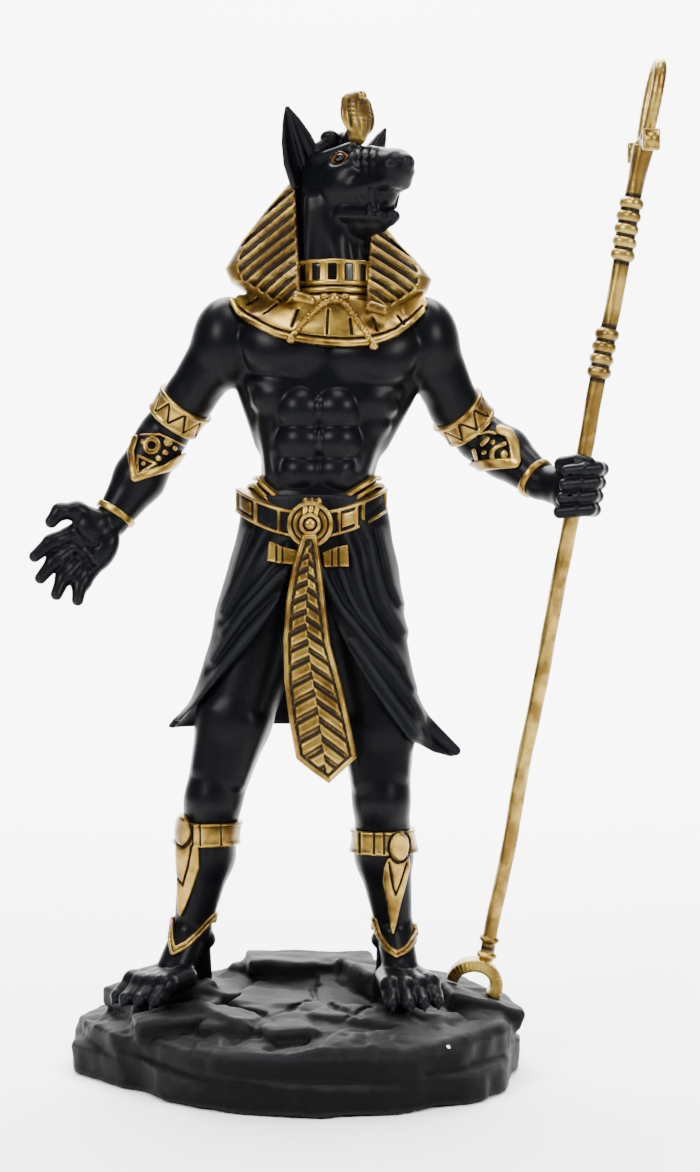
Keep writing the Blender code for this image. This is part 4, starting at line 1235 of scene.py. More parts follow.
    def build_cobra(self) -> None:
        """Make the dark brow roll, the cobra's neck and its spread gold hood."""
        at, turn = self.frame.at, self.frame.axes()
        roll = Clay((0, -22, 276), (34, 20, 296), Grain.FINE)
        roll.chain([(at(3.6, -8.6, 9.2), 2.2), (at(5.6, -4.6, 11.6), 2.5), (at(6.8, 0, 12.4), 2.5),
                    (at(5.6, 4.6, 11.6), 2.5), (at(3.6, 8.6, 9.2), 2.2)], 0.8)
        roll.add(Limb(at(9.5, 0, 9.0), at(13.2, 0, 14.2), 3.6, 2.9), 1.0)
        roll.add(Ball(at(5.4, -5.6, 13.0), (3.4, 2.6, 2.2), turn), 1.0)
        cast(roll, "brow_roll", self.finishes.resin, 0.8)
        hood = Clay((2, -26, 280), (38, 12, 302), Grain.JEWEL)
        hood.add(Ball(at(14.5, 0, 18.2), (2.6, 7.2, 7.2), turn), 0.5)
        hood.add(Ball(at(14.4, 0, 22.2), (2.6, 6.3, 4.0), turn), 0.8)
        hood.add(Limb(at(13.2, 0, 11.6), at(14.6, 0, 16.0), 3.3, 2.8), 1.2)
        hood.add(Limb(at(14.8, 0, 24.2), at(17.4, 0, 24.0), 2.3, 1.8), 0.6)
        for side in (-1, 1):
            for line in (((17.0, 1.6, 12.0), (17.7, 2.3, 18.0), (17.3, 2.0, 22.4)),
                         ((16.0, 4.4, 13.6), (16.7, 5.1, 18.6), (16.4, 4.6, 22.6))):
                hood.groove([at(forward, left * side, up) for forward, left, up in line], 0.5, 0.5)
            hood.cut(Ball(at(18.6, 1.3 * side, 24.8), (0.6, 0.6, 0.6)), 0.2)
        for row in range(7):
            up = 12.6 + 1.6 * row
            hood.groove([at(16.4, -5.2, up - 0.3), at(17.6, -2.2, up), at(17.9, 0, up), at(17.6, 2.2, up),
                         at(16.4, 5.2, up - 0.3)], 0.42, 0.45)
        cast(hood, "cobra_hood", self.finishes.washed_gold, 0.6)


class Plane:
    """Flat shapes in the photograph's plane at one depth, as distances over a box of clay."""

    def __init__(self, clay: Clay, depth: float) -> None:
        """Keep the x and z of the clay's sample points and the depth that pixels are read at."""
        self.x, _, self.z = clay.grids()
        self.depth = depth

    def polygon(self, pixels: Sequence[Pair]) -> Array:
        """How far each point is outside a closed outline of pixels."""
        corners = seen_row(pixels, self.depth)
        nearest: Array = np.float32(1e6)
        inside: Array = np.zeros(np.broadcast(self.x, self.z).shape, bool)
        for (ax, az), (bx, bz) in zip(corners, corners[1:] + corners[:1]):
            nearest = np.minimum(nearest, self.segment((ax, az), (bx, bz)))
            crosses = (az > self.z) != (bz > self.z)
            rise = bz - az if abs(bz - az) > 1e-9 else 1e-9
            inside ^= crosses & (self.x < (bx - ax) * (self.z - az) / rise + ax)
        return np.where(inside, -nearest, nearest).astype(np.float32)

    def segment(self, start: Pair, end: Pair) -> Array:
        """How far each point is from a straight line between two places."""
        ax, az = start
        bx, bz = end[0] - ax, end[1] - az
        share = np.clip(((self.x - ax) * bx + (self.z - az) * bz) / max(bx * bx + bz * bz, 1e-9), 0.0, 1.0)
        return np.sqrt((self.x - ax - share * bx) ** 2 + (self.z - az - share * bz) ** 2)

    def stroke(self, pixels: Sequence[Pair], half_width: float) -> Array:
        """How far each point is outside a line of a width drawn through pixels."""
        places = seen_row(pixels, self.depth)
        nearest: Array = np.float32(1e6)
        for start, end in zip(places, places[1:]):
            nearest = np.minimum(nearest, self.segment(start, end))
        return nearest - half_width

    def spot(self, pixel: Pair, radius_x: float, radius_z: Optional[float] = None) -> Array:
        """How far each point is outside a round or oval spot around a pixel."""
        (across, high), = seen_row([pixel], self.depth)
        radius_z = radius_z or radius_x
        size = np.sqrt(((self.x - across) / radius_x) ** 2 + ((self.z - high) / radius_z) ** 2)
        return (size - 1.0) * min(radius_x, radius_z)

    def ring(self, pixel: Pair, radius: float, half_width: float) -> Array:
        """How far each point is outside a round line around a pixel."""
        return np.abs(self.spot(pixel, radius)) - half_width


def raised(base: Array, shape: Array, lift: float, rounding: float = 0.5) -> Array:
    """A shape raised out of a surface.

    Args:
        base: how far each point is outside the surface.
        shape: how far each point is outside the shape's outline.
        lift: how high it stands.
        rounding: how round its upper edge is.

    Returns:
        How far each point is outside the raised shape.
    """
    return soft_max(base - lift, shape, rounding)


@dataclass
class Cuff:
    """A gold band around a limb, between two planes across the limb's axis."""

    name: str
    middle: Triple
    axis: Triple
    half_height: float
    lift: float
    rim: float
    reach: float
    points: int

    def build(self, fill: Callable[[Clay], None], coat: Coat) -> None:
        """Raise the band out of its limb.

        Args:
            fill: presses the limb on to an empty box of clay.
            coat: the band's finish.
        """
        low, high = (tuple(np.add(self.middle, reach)) for reach in (-self.reach, self.reach))
        clay = Clay(low, high, Grain.FINE)
        fill(clay)
        base = clay.distance.copy()
        way = unit(self.axis)
        across = unit(np.cross(way, (0.0, 1.0, 0.0)))
        ahead = np.cross(way, across)
        along, side, front = along_axes(self.middle, (way, across, ahead), *clay.grids())
        near = np.sqrt(side ** 2 + front ** 2) - 15.0
        band = np.maximum(np.abs(along) - self.half_height, near)
        clay.distance = raised(base, band, self.lift, 0.4).astype(np.float32)
        if self.rim > 0.0:
            for way_out in (-1, 1):
                line = np.maximum(np.abs(along - way_out * (self.half_height - 0.35)) - 0.75, near)
                clay.lay(raised(base, line, self.lift + self.rim, 0.6), 0.3)
        if self.points:
            turn = np.arctan2(side, front) / math.tau * self.points
            zigzag = np.abs((turn % 1.0) * 2.0 - 1.0)
            share = along / (self.half_height - 1.0)
            line = np.abs(zigzag * 2.0 - 1.0 - share) * 2.0 - 0.42
            trench = np.maximum(np.maximum(line, np.abs(share) * 3.0 - 3.0), -(base - self.lift + 0.9))
            clay.keep(-trench, 0.3)
        clay.keep(-(base + 1.6), 0.0)
        cast(clay, self.name, coat, 0.7)


@dataclass
class ArmGold:
    """The armbands, elbow guards and wrist bands."""

    body: Body
    finishes: Finishes

    def build(self) -> None:
        """Make the bands and the guards of both arms."""
        for side in Side:
            self.build_bands(side)
        self.build_right_guard()
        self.build_left_guard()

    def fill(self, side: Side) -> Callable[[Clay], None]:
        """The arm's own recipe."""
        return lambda clay: self.body.shape_arm(clay, side)

    def build_bands(self, side: Side) -> None:
        """Make the armband and the wrist band of one arm."""
        pose = self.body.pose
        for name, start, end, share, half_height, lift, rim, reach, points in (
            ("armband", pose.upper_arms[side], pose.elbows[side], 0.37, 4.0, 1.2, 0.35, 14, 9),
            ("wrist_band", pose.forearms[side], pose.wrists[side], 0.90, 1.15, 1.1, 0.0, 12, 0),
        ):
            cuff = Cuff(f"{name}_{side.word}", lerp(start, end, share), np.subtract(end, start),
                        half_height, lift, rim, reach, points)
            cuff.build(self.fill(side), self.finishes.gold)

    def guard(self, name: str, side: Side, low: Triple, high: Triple, border: Sequence[Sequence[Pair]],
              marks: Callable[[Plane], list[Array]], half_width: float) -> None:
        """Raise one elbow guard's border and marks out of the arm.

        Args:
            name: the piece's name.
            side: which arm.
            low: the lowest corner of the box that holds it.
            high: the highest corner.
            border: the pixels of each stretch of its raised border.
            marks: gives the shapes of its marks in the photograph's plane.
            half_width: half the border's width.
        """
        clay = Clay(low, high, Grain.JEWEL)
        self.body.shape_arm(clay, side)
        base = clay.distance.copy()
        _, y, _ = clay.grids()
        plane = Plane(clay, 4.0)
        front = y - 17.0
        clay.distance = np.full_like(base, FAR)
        for line in border:
            clay.lay(raised(base, np.maximum(plane.stroke(line, half_width), front), 1.5, 0.7), 0.4)
        for shape in marks(plane):
            clay.lay(raised(base, np.maximum(shape, front), 0.95, 0.4), 0.15)
        clay.keep(-(base + 1.2), 0.0)
        cast(clay, name, self.finishes.gold, 0.6)

    def build_right_guard(self) -> None:
        """Make the pointed guard with the ring, which the viewer sees at the left."""

        def marks(plane: Plane) -> list[Array]:
            """The ring, dots and small triangle inside the border."""
            triangle = [(138, 455), (156, 463), (138.5, 474), (138, 455)]
            shapes = [plane.ring((151.7, 444.5), 2.25, 0.85), plane.stroke(triangle, 0.5)]
            for pixel, radius in (((167.5, 441.5), 1.4), ((165, 451.5), 1.0), ((158.5, 457.5), 1.0),
                                  ((142, 441), 0.9), ((144, 463), 0.8), ((174, 447), 0.8)):
                shapes.append(plane.spot(pixel, radius))
            shapes.append(plane.stroke([(140, 434), (160, 433.5), (183, 444)], 0.35))
            return shapes

        self.guard("elbow_guard_right", Side.RIGHT, (-62, -8, 158), (-34, 26, 193),
                   [[(134, 437), (130.5, 450), (135.5, 477)], [(183.5, 454), (166, 467), (136.5, 478)]],
                   marks, 1.25)

    def build_left_guard(self) -> None:
        """Make the rounded guard that the viewer sees at the right."""

        def marks(plane: Plane) -> list[Array]:
            """The bands and drops inside the border."""
            shapes = [
                plane.stroke([(504, 443.5), (495, 447), (491.5, 451), (491.5, 457)], 0.75),
                plane.stroke([(482.5, 443), (487, 438.5)], 0.85),
                plane.spot((492.5, 442), 0.9),
                plane.spot((503, 454.5), 1.25, 1.5),
                plane.stroke([(478, 433), (488, 431), (495, 433)], 0.5),
                plane.stroke([(474, 449), (477, 458)], 0.6),
                plane.spot((484, 452), 0.8),
            ]
            return shapes

        self.guard("elbow_guard_left", Side.LEFT, (52, -8, 158), (82, 28, 200),
                   [[(500, 429), (508, 432), (513, 443), (514, 460)], [(513, 463), (497, 463.5), (474, 465)]],
                   marks, 1.75)


@dataclass(frozen=True)
class GreaveMarks:
    """Where the photograph shows the gold of one leg, as pixels."""

    top: Pair
    bottom: Pair
    medallion: Pair
    plate: tuple[Pair, ...]
    fold: tuple[Pair, ...]
    grooves: tuple[float, ...]
    ankle: tuple[Pair, ...]


@dataclass
class LegGold:
    """The knee bands, medallions, shin plates and ankle bands."""

    body: Body
    finishes: Finishes
    right: GreaveMarks = GreaveMarks(
        top=(170, 822), bottom=(170, 846), medallion=(180.5, 831.5),
        plate=((172, 846), (174, 884), (175, 917), (178.5, 921.5), (184.5, 909), (191.5, 891), (198.5, 870),
               (198, 848), (190, 843)),
        fold=((191, 846), (187, 868), (181, 888), (175, 880)), grooves=(192, 200, 221),
        ankle=((168.5, 926), (169.5, 938), (173.5, 950), (186, 944), (199, 933), (214, 918)))
    left: GreaveMarks = GreaveMarks(
        top=(346, 830), bottom=(346, 854), medallion=(399.5, 846.5),
        plate=((388, 858), (384, 868), (383, 884), (388, 908), (391, 930), (393.5, 939), (397, 928),
               (401, 908), (407, 886), (411, 868), (410, 858)),
        fold=((389, 862), (393, 888), (396, 897), (401, 884), (407, 864)), grooves=(360, 374, 384),
        ankle=((374, 922), (378, 935), (387, 947), (396.5, 951.5), (407, 947), (418, 936)))

    def build(self) -> None:
        """Make the gold of both legs."""
        for side, marks in ((Side.RIGHT, self.right), (Side.LEFT, self.left)):
            self.build_greave(side, marks)
            self.build_ankle_band(side, marks)

    def leg(self, side: Side, top: float) -> Clay:
        """A box of clay around one shin, up to a height, filled with the bare leg."""
        knee, foot = self.body.pose.knees[side], self.body.pose.ankles[side]
        clay = Clay((min(knee[0], foot[0]) - 16, -22, 14), (max(knee[0], foot[0]) + 16, 20, top), Grain.FINE)
        self.body.shape_leg(clay, side)
        self.body.shape_foot(clay, side)
        return clay

    def build_greave(self, side: Side, marks: GreaveMarks) -> None:
        """Raise one leg's knee band, medallion and shin plate out of the leg.

        Args:
            side: which leg.
            marks: where the photograph shows them.
        """
        clay = self.leg(side, 66)
        base = clay.distance.copy()
        _, y, z = clay.grids()
        front = y - 4.0
        plane = Plane(clay, -12.0)
        (_, high_z), (_, low_z) = seen_row([marks.top, marks.bottom], -8.0)
        level = np.abs(z - (high_z + low_z) / 2) - (high_z - low_z) / 2
        clay.distance = raised(base, level, 1.3, 0.5).astype(np.float32)
        for edge in (high_z - 0.5, low_z + 0.5):
            clay.lay(raised(base, np.abs(z - edge) - 0.55, 1.65, 0.5), 0.3)
        clay.lay(raised(base, np.maximum(plane.polygon(marks.plate), front), 1.5, 0.6), 0.2)
        clay.lay(raised(base, np.maximum(plane.spot(marks.medallion, 3.5, 5.3), front), 2.7, 2.0), 0.0)
        lines = [plane.stroke(marks.fold, 0.28), np.abs(plane.spot(marks.medallion, 3.55, 5.35)) - 0.28]
        for column in marks.grooves:
            lines.append(plane.stroke([(column, marks.top[1]), (column, marks.bottom[1])], 0.3))
        trench = np.maximum(np.minimum.reduce(lines), front)
        clay.keep(-np.maximum(trench, -(base - 0.7)), 0.25)
        clay.keep(-(base + 1.4), 0.0)
        cast(clay, f"greave_{side.word}", self.finishes.gold, 0.7)

    def build_ankle_band(self, side: Side, marks: GreaveMarks) -> None:
        """Raise one leg's ankle band, which dips to a point in front.

        Args:
            side: which leg.
            marks: where the photograph shows it.
        """
        strap = self.leg(side, 36)
        base = strap.distance.copy()
        _, y, z = strap.grids()
        plane = Plane(strap, -6.0)
        ends = seen_row([marks.ankle[0], marks.ankle[-1]], 0.0)
        strap.distance = np.full_like(base, FAR)
        strap.lay(raised(base, np.maximum(plane.stroke(marks.ankle, 1.15), y - 3.0), 1.2, 0.6))
        behind = np.abs(z - (ends[0][1] + ends[1][1]) / 2 - 0.5) - 1.15
        strap.lay(raised(base, np.maximum(behind, 2.0 - y), 1.2, 0.6), 0.6)
        groove = np.maximum(plane.stroke(marks.ankle, 0.22), -(base - 0.75))
        strap.keep(-np.maximum(groove, y - 3.0), 0.2)
        strap.keep(-(base + 1.4), 0.0)
        cast(strap, f"ankle_band_{side.word}", self.finishes.gold, 0.7)


# Headdress and collar


@dataclass
class Headdress:
    """The striped cloth that falls from behind the ears to the shoulders, and its tail."""

    finishes: Finishes
    cloth: Stack = Stack((
        (285, 11.5, 5.0, 8.0, 4.0), (279, 11.0, 10.5, 8.5, 8.5), (272, 10.7, 13.3, 8.5, 10.5),
        (263.7, 10.6, 20.6, 8.5, 12.0), (252.6, 10.5, 29.0, 8.0, 13.5), (243, 10.5, 34.5, 6.5, 15.5),
        (238, 10.7, 32.5, 4.5, 17.5), (234, 10.8, 26.5, 3.5, 18.5), (229, 11.0, 19.5, 3.0, 18.8),
    ))
    pitch: float = 4.5
    depth: float = 2.1
    falls: Pair = (0.80, 0.64)
    face_half_width: float = 11.3

    def rule(self, x: Array, y: Array, z: Array) -> Array:
        """How far each point is outside the striped cloth, which hangs lower at the figure's left."""
        leftward = np.clip((x - 8.0) / 10.0, 0.0, 1.0)
        level = z + leftward * (3.2 + 5.0 * np.clip((z - 238.0) / 14.0, 0.0, 1.0))
        bulk = self.cloth.distance(x, y, level)
        middle_x, half_width, _, _ = self.cloth.sizes(level)
        beside = np.abs(x - middle_x)
        fall = self.falls[0] + (self.falls[1] - self.falls[0]) * leftward
        phase = ((z + fall * beside + 1.2) / self.pitch) % 1.0
        ridge = np.interp(phase, (0.0, 0.26, 0.40, 0.58, 0.78, 0.90, 1.0),
                          (0.0, 0.0, 0.34, 0.46, 1.0, 0.90, 0.0)).astype(np.float32)
        margin = 1.0 + 2.8 * np.clip((250.0 - level) / 6.0, 0.0, 1.0) * np.clip((6.0 - y) / 3.0, 0.0, 1.0)
        hem = np.clip((half_width - beside - margin) / 1.0, 0.0, 1.0)
        return bulk + self.depth * (0.72 - ridge) * hem - 0.3 * (1.0 - hem)

    def build(self) -> None:
        """Make the cloth, its tail and the rolled ends."""
        clay = Clay((-28, -20, 214), (49, 26, 288), Grain.BODY)
        clay.add(Rule((-27, -19, 215), (48, 25, 287), self.rule), 0.0)
        x, y, z = clay.grids()
        sway = 0.05 * (z - 240.0)
        face = np.maximum(np.abs(x - 12.2) - (self.face_half_width + sway), y - 9.0)
        clay.keep(-face, 0.8)
        self.build_tail(clay)
        for pixel, depth in (((303.5, 298), -15.2), ((376, 308), -15.4)):
            end = seen(*pixel, depth)
            clay.add(Limb(shift(end, x=-2.0, z=0.7), shift(end, x=2.4, z=-0.7), 1.9, 1.7), 0.4)
            clay.groove([shift(end, 0.6, -2.0, 2.0), shift(end, 0.2, -2.0, -2.0)], 0.4, 0.3)
        cast(clay, "headdress", self.finishes.washed_gold, 1.0)

    def build_tail(self, clay: Clay) -> None:
        """Press on the bound tail behind the shoulders."""
        clay.add(Limb((11, 17, 238), (11, 19, 226), 6.2, 4.4), 1.2)
        for step in range(8):
            clay.add(Ball((11, 19.3, 226 - 3.6 * step), (4.4, 3.2, 2.2)), 0.25)


@dataclass
class Collar:
    """The broad collar with its rim, the twisted cords over it, and the choker."""

    body: Body
    finishes: Finishes
    cone: Stack = Stack((
        (243, 12.4, 11.5, 4.5, 10.0), (237, 11.8, 16.0, 4.2, 12.2), (229, 11.4, 25.5, 4.0, 14.0),
        (221, 11.2, 32.0, 4.0, 16.2), (212, 11.2, 34.0, 4.0, 17.6), (206, 11.2, 31.0, 4.0, 16.0)))
    rim: tuple[Pair, ...] = ((231, 297), (238, 309), (250, 319), (262, 327), (276, 334), (292, 338.5),
                             (310, 341.5), (329, 343), (348, 344), (366, 343), (382, 339), (396, 333),
                             (410, 321), (423, 308), (429, 302))
    inner_edge: tuple[Pair, ...] = ((424, 286), (398, 292), (372, 300), (352, 297), (318, 297), (300, 300),
                                    (276, 284), (240, 282))
    rays: tuple[tuple[Pair, Pair], ...] = (
        ((280, 299), (264, 313)), ((298, 309), (292, 327)), ((328, 309), (327, 334)),
        ((373, 318), (377, 331)), ((398, 314), (404, 324)), ((262, 290), (246, 301)),
        ((350, 318), (352, 335)))
    cords: tuple[tuple[Pair, ...], ...] = (
        ((333, 297), (323, 302), (312, 311), (302, 323), (294, 335)),
        ((336, 297), (345, 302), (354, 313), (363, 327), (371, 341)))
    # Height, half height and radius of each ring of the choker, and the number of blocks between them
    rings: tuple[Triple, ...] = ((231.2, 1.3, 15.2), (234.0, 1.0, 15.2), (236.4, 0.9, 15.0),
                                 (243.4, 0.8, 14.9))
    blocks: int = 16

    def build(self) -> None:
        """Make the plate, the cords and the choker."""
        self.build_plate()
        self.build_cords()
        self.build_choker()

    def build_plate(self) -> None:
        """Raise the plate and its rim out of the shoulders."""
        clay = Clay((-28, -24, 208), (52, 12, 246), Grain.FINE)
        self.body.shape_trunk(clay)
        for side in Side:
            self.body.shape_arm(clay, side)
        clay.add(self.cone, 2.0)
        base = clay.distance.copy()
        _, y, _ = clay.grids()
        plane = Plane(clay, -12.0)
        front = y - 6.0
        area = np.maximum(plane.polygon([*self.rim, *self.inner_edge]), front)
        clay.distance = raised(base, area, 1.5, 0.5).astype(np.float32)
        clay.lay(raised(base, np.maximum(plane.stroke(self.rim[:-1], 1.05), front), 2.3, 0.9), 0.25)
        trench = plane.stroke([(column, row - 5.2) for column, row in self.rim[1:-1]], 0.3)
        for ray in self.rays:
            trench = np.minimum(trench, plane.stroke(ray, 0.36))
        clay.keep(-np.maximum(trench, -(base - 0.55)), 0.3)
        clay.keep(-(base + 1.5), 0.0)
        cast(clay, "collar", self.finishes.gold, 0.8)

    def build_cords(self) -> None:
        """Make the twisted cords that hang from the knot."""
        low, high = (-8, -30, 208), (32, -6, 236)
        clay = Clay(low, high, Grain.JEWEL)
        probe = Clay(low, high, Grain.FINE)
        self.body.shape_trunk(probe)
        probe.add(self.cone, 2.0)
        for path in self.cords:
            points = []
            for pixel_x, pixel_y in path:
                place = seen(pixel_x, pixel_y, -15.0)
                points.append((place[0], probe.front(place[0], place[2]) - 2.1, place[2]))
            self.twist(clay, points, 1.05, 2.9)
            away = unit(np.subtract(points[-1], points[-2]))
            clay.add(Limb(points[-1], tuple(np.asarray(points[-1]) + away * 1.8), 1.1, 1.6), 0.4)
        knot = seen(334.5, 296, -17.0)
        knot = (knot[0], probe.front(knot[0], knot[2]) - 2.2, knot[2])
        clay.add(Ball(knot, (1.8, 1.6, 1.9)), 0.4)
        for way in (-1, 1):
            clay.add(Ball(shift(knot, 3.3 * way, 0.4, 0.7), (1.7, 1.3, 1.1)), 0.3)
        cast(clay, "collar_cords", self.finishes.gold, 0.5)

    @staticmethod
    def twist(clay: Clay, points: Sequence[Triple], radius: float, pitch: float) -> None:
        """Press on a cord of two strands that wind around each other.

        Args:
            clay: what it is pressed on.
            points: the cord's middle line.
            radius: half the cord's thickness.
            pitch: the length of one full turn.
        """
        stretch = 0.0
        for start, end in zip(points, points[1:]):
            along = np.subtract(end, start)
            length = float(np.linalg.norm(along))
            across = unit(np.cross(along, (0.0, 1.0, 0.0)))
            ahead = unit(np.cross(along, across))
            steps = max(2, round(length / 0.5))
            for strand in (0.0, math.pi):
                places = []
                for step in range(steps + 1):
                    share = step / steps
                    turn = math.tau * (stretch + length * share) / pitch + strand
                    offset = (math.cos(turn) * across + math.sin(turn) * ahead) * radius * 0.5
                    places.append((tuple(np.asarray(lerp(start, end, share)) + offset), radius * 0.62))
                clay.chain(places, 0.05)
            stretch += length

    def build_choker(self) -> None:
        """Make the choker: two rims, a row of gold blocks and the dark enamel behind them."""
        low, high = (-4, -12, 227), (29, 22, 247)
        clay = Clay(low, high, Grain.FINE)
        x, y, z = clay.grids()
        across, along = x - 12.4, y - 4.5
        out = np.sqrt(across ** 2 + along ** 2)
        turn = np.arctan2(across, -along)
        for height, half, radius in self.rings:
            ring = soft_max(np.abs(z - height) - half, out - radius, 0.9)
            clay.lay(np.maximum(ring, 11.0 - out), 0.2)
        beside = np.abs((turn / math.tau * self.blocks + 0.1) % 1.0 - 0.5) * math.tau / self.blocks * 14.0
        bar = np.maximum(beside - 1.35, np.abs(z - 239.9) - 3.0)
        clay.lay(np.maximum(soft_max(bar, out - 14.7, 0.4), 11.0 - out), 0.15)
        cast(clay, "choker", self.finishes.gold, 0.7)
        inlay = Clay(low, high, Grain.FINE)
        inlay.lay(soft_max(out - 14.0, np.abs(z - 238.0) - 5.0, 0.3))
        cast(inlay, "choker_inlay", self.finishes.gloss, 0.7)


# Belt, apron and kilt


@dataclass
class Belt:
    """The belt that dips to its round buckle, with panels and a rolled trim above it."""

    body: Body
    finishes: Finishes
    middle: Pair = (4.9, 1.0)
    half_width: float = 24.6
    half_depth: float = 18.0
    low: Triple = (-24, -24, 140)
    high: Triple = (34, 24, 178)
    dividers: tuple[float, ...] = (-156, -120, -84, -47, -24.5, 21.5, 43, 80, 118, 156)
    # The angle of each panel filled with gold, half its spread in degrees and how far it stands proud
    leafed: tuple[Triple, ...] = ((29.5, 5.5, 0.55), (-62, 9.5, 0.5), (-100, 11.0, 0.4), (98, 12.0, 0.4),
                                  (138, 11, 0.4), (-138, 11, 0.4), (180, 14, 0.4))
    degree: float = 0.36        # about how many millimetres of the belt a degree spans

    def wrap(self, clay: Clay) -> tuple[Array, Array, Array, Array]:
        """Where each point is as seen from the belt.

        Args:
            clay: the box of sample points.

        Returns:
            How far out each point is, its angle from the front, its height above the belt's middle
            line, and half the belt's height there.
        """
        x, y, z = clay.grids()
        across, along = (x - self.middle[0]) / self.half_width, (y - self.middle[1]) / self.half_depth
        near = np.sqrt(across ** 2 + along ** 2)
        steep = np.sqrt((across / self.half_width) ** 2 + (along / self.half_depth) ** 2)
        out = near * (near - 1.0) / np.maximum(steep, 1e-4)
        turn = np.degrees(np.arctan2(across, -along))
        course = 165.2 - 8.8 * np.maximum(0.0, np.cos(np.radians(turn))) ** 2
        return out, turn, z - course, 4.0 - 0.5 * np.clip(np.abs(turn) / 70.0, 0.0, 1.0)

    @staticmethod
    def beside(turn: Array, angle: float) -> Array:
        """How many degrees each point is from an angle, either way around."""
        return np.abs((turn - angle + 180.0) % 360.0 - 180.0)

    def build(self) -> None:
        """Make the belt, its gold frames, the trim, the buckle and the tabs."""
        strap = Clay(self.low, self.high, Grain.BODY)
        out, _, lift, half = self.wrap(strap)
        strap.lay(soft_max(out, np.abs(lift) - half, 0.6))
        strap.keep(-(out + 3.0), 0.0)
        cast(strap, "belt_strap", self.finishes.resin, 1.0)
        gold = Clay(self.low, self.high, Grain.FINE)
        out, turn, lift, half = self.wrap(gold)
        for edge in (half, -half):
            gold.lay(soft_max(out - 1.1, np.abs(lift - edge) - 0.55, 0.8), 0.2)
        inside = np.abs(lift) - half
        for angle in self.dividers:
            off = self.beside(turn, angle) * self.degree
            gold.lay(soft_max(soft_max(out - 0.9, off - 0.5, 0.5), inside, 0.0), 0.15)
        for angle, spread, rise in self.leafed:
            panel = np.maximum((self.beside(turn, angle) - spread) * self.degree, inside + 1.5)
            gold.lay(soft_max(out - rise, panel, 0.4), 0.1)
        off = np.abs(turn - 36.5) * self.degree
        gold.lay(soft_max(soft_max(out - 0.9, off - 0.45, 0.4), inside, 0.0), 0.1)
        self.add_trim(gold, turn)
        cast(gold, "belt_gold", self.finishes.gold, 0.7)
        self.build_buckle()
        self.build_tabs()

    def add_trim(self, gold: Clay, turn: Array) -> None:
        """Raise the two rolled ridges above the belt out of the trunk.

        Args:
            gold: the box that they are added to.
            turn: each point's angle from the front.
        """
        z = gold.grids()[2]
        trunk = Clay(self.low, self.high, Grain.FINE)
        self.body.shape_trunk(trunk)
        base = trunk.distance
        share = np.clip(np.abs(turn) / 72.0, 0.0, 1.0)
        line = 160.4 + 12.2 * share * share * (3.0 - 2.0 * share)
        for drop, half, lift in ((0.0, 0.85, 2.2), (2.6, 1.0, 2.6)):
            ridge = raised(base, np.abs(z - line + drop) - half, lift, 1.1)
            gold.lay(np.maximum(ridge, -(base + 1.0)), 0.1)

    def build_buckle(self) -> None:
        """Make the round buckle with its dish, boss and upper tab."""
        clay = Clay((-6, -27, 146), (16, -10, 168), Grain.JEWEL)
        toward = (0, 1, 0)
        place = seen(310, 523.5, -21.0)

        def plate(depth: float, radius: float, half: float, hole: float = 0.0, rounding: float = 0.4) -> Disc:
            """A round plate or ring at a depth behind the buckle's face."""
            return Disc((place[0], -19.0 + depth, place[2]), toward, radius, half, hole, rounding)

        clay.add(plate(1.6, 7.4, 2.4), 0.0)
        clay.add(plate(-0.6, 7.5, 1.4, 6.1, 0.6), 0.2)
        clay.add(plate(-0.2, 5.6, 1.0, 4.0, 0.5), 0.2)
        clay.add(plate(-1.6, 3.5, 1.6, 2.35, 0.55), 0.2)
        clay.add(Ball((place[0], -20.4, place[2]), (2.2, 1.9, 2.2)), 0.1)
        for way in (-1, 1):
            for nick in (((4.0, -2.4), (5.9, -3.6)), ((3.6, 3.2), (5.4, 4.6))):
                ends = [(place[0] + across * way, -21.2, place[2] + up) for across, up in nick]
                clay.groove(ends, 0.35, 0.2)
        for way in (-1, 0, 1):
            clay.add(Limb((place[0] + 1.75 * way, -20.6, place[2] + 2.8),
                          (place[0] + 0.7 + 2.15 * way, -19.2, place[2] + 7.6), 0.95, 1.15), 0.15)
        cast(clay, "buckle", self.finishes.gold, 0.6)

    def build_tabs(self) -> None:
        """Make the two gold tabs that show below the belt."""
        clay = Clay((-14, -24, 140), (22, -10, 158), Grain.FINE)
        _, y, _ = clay.grids()
        plane = Plane(clay, -20.0)
        for outline, lines in (
            (((269, 540), (283, 546), (297, 550), (297, 564), (281, 563), (267, 560)), (276.5, 282.5)),
            (((322, 552), (337, 546), (348, 544), (349, 566), (338, 566), (324, 567)), (332, 338.5)),
        ):
            area = plane.polygon(outline)
            clay.lay(soft_max(area, np.abs(y + 17.6) - 2.4, 0.5))
            for column in lines:
                line = np.maximum(plane.stroke([(column, 535), (column, 570)], 0.3), y + 19.4)
                clay.keep(-line, 0.25)
        cast(clay, "belt_tabs", self.finishes.gold, 0.7)


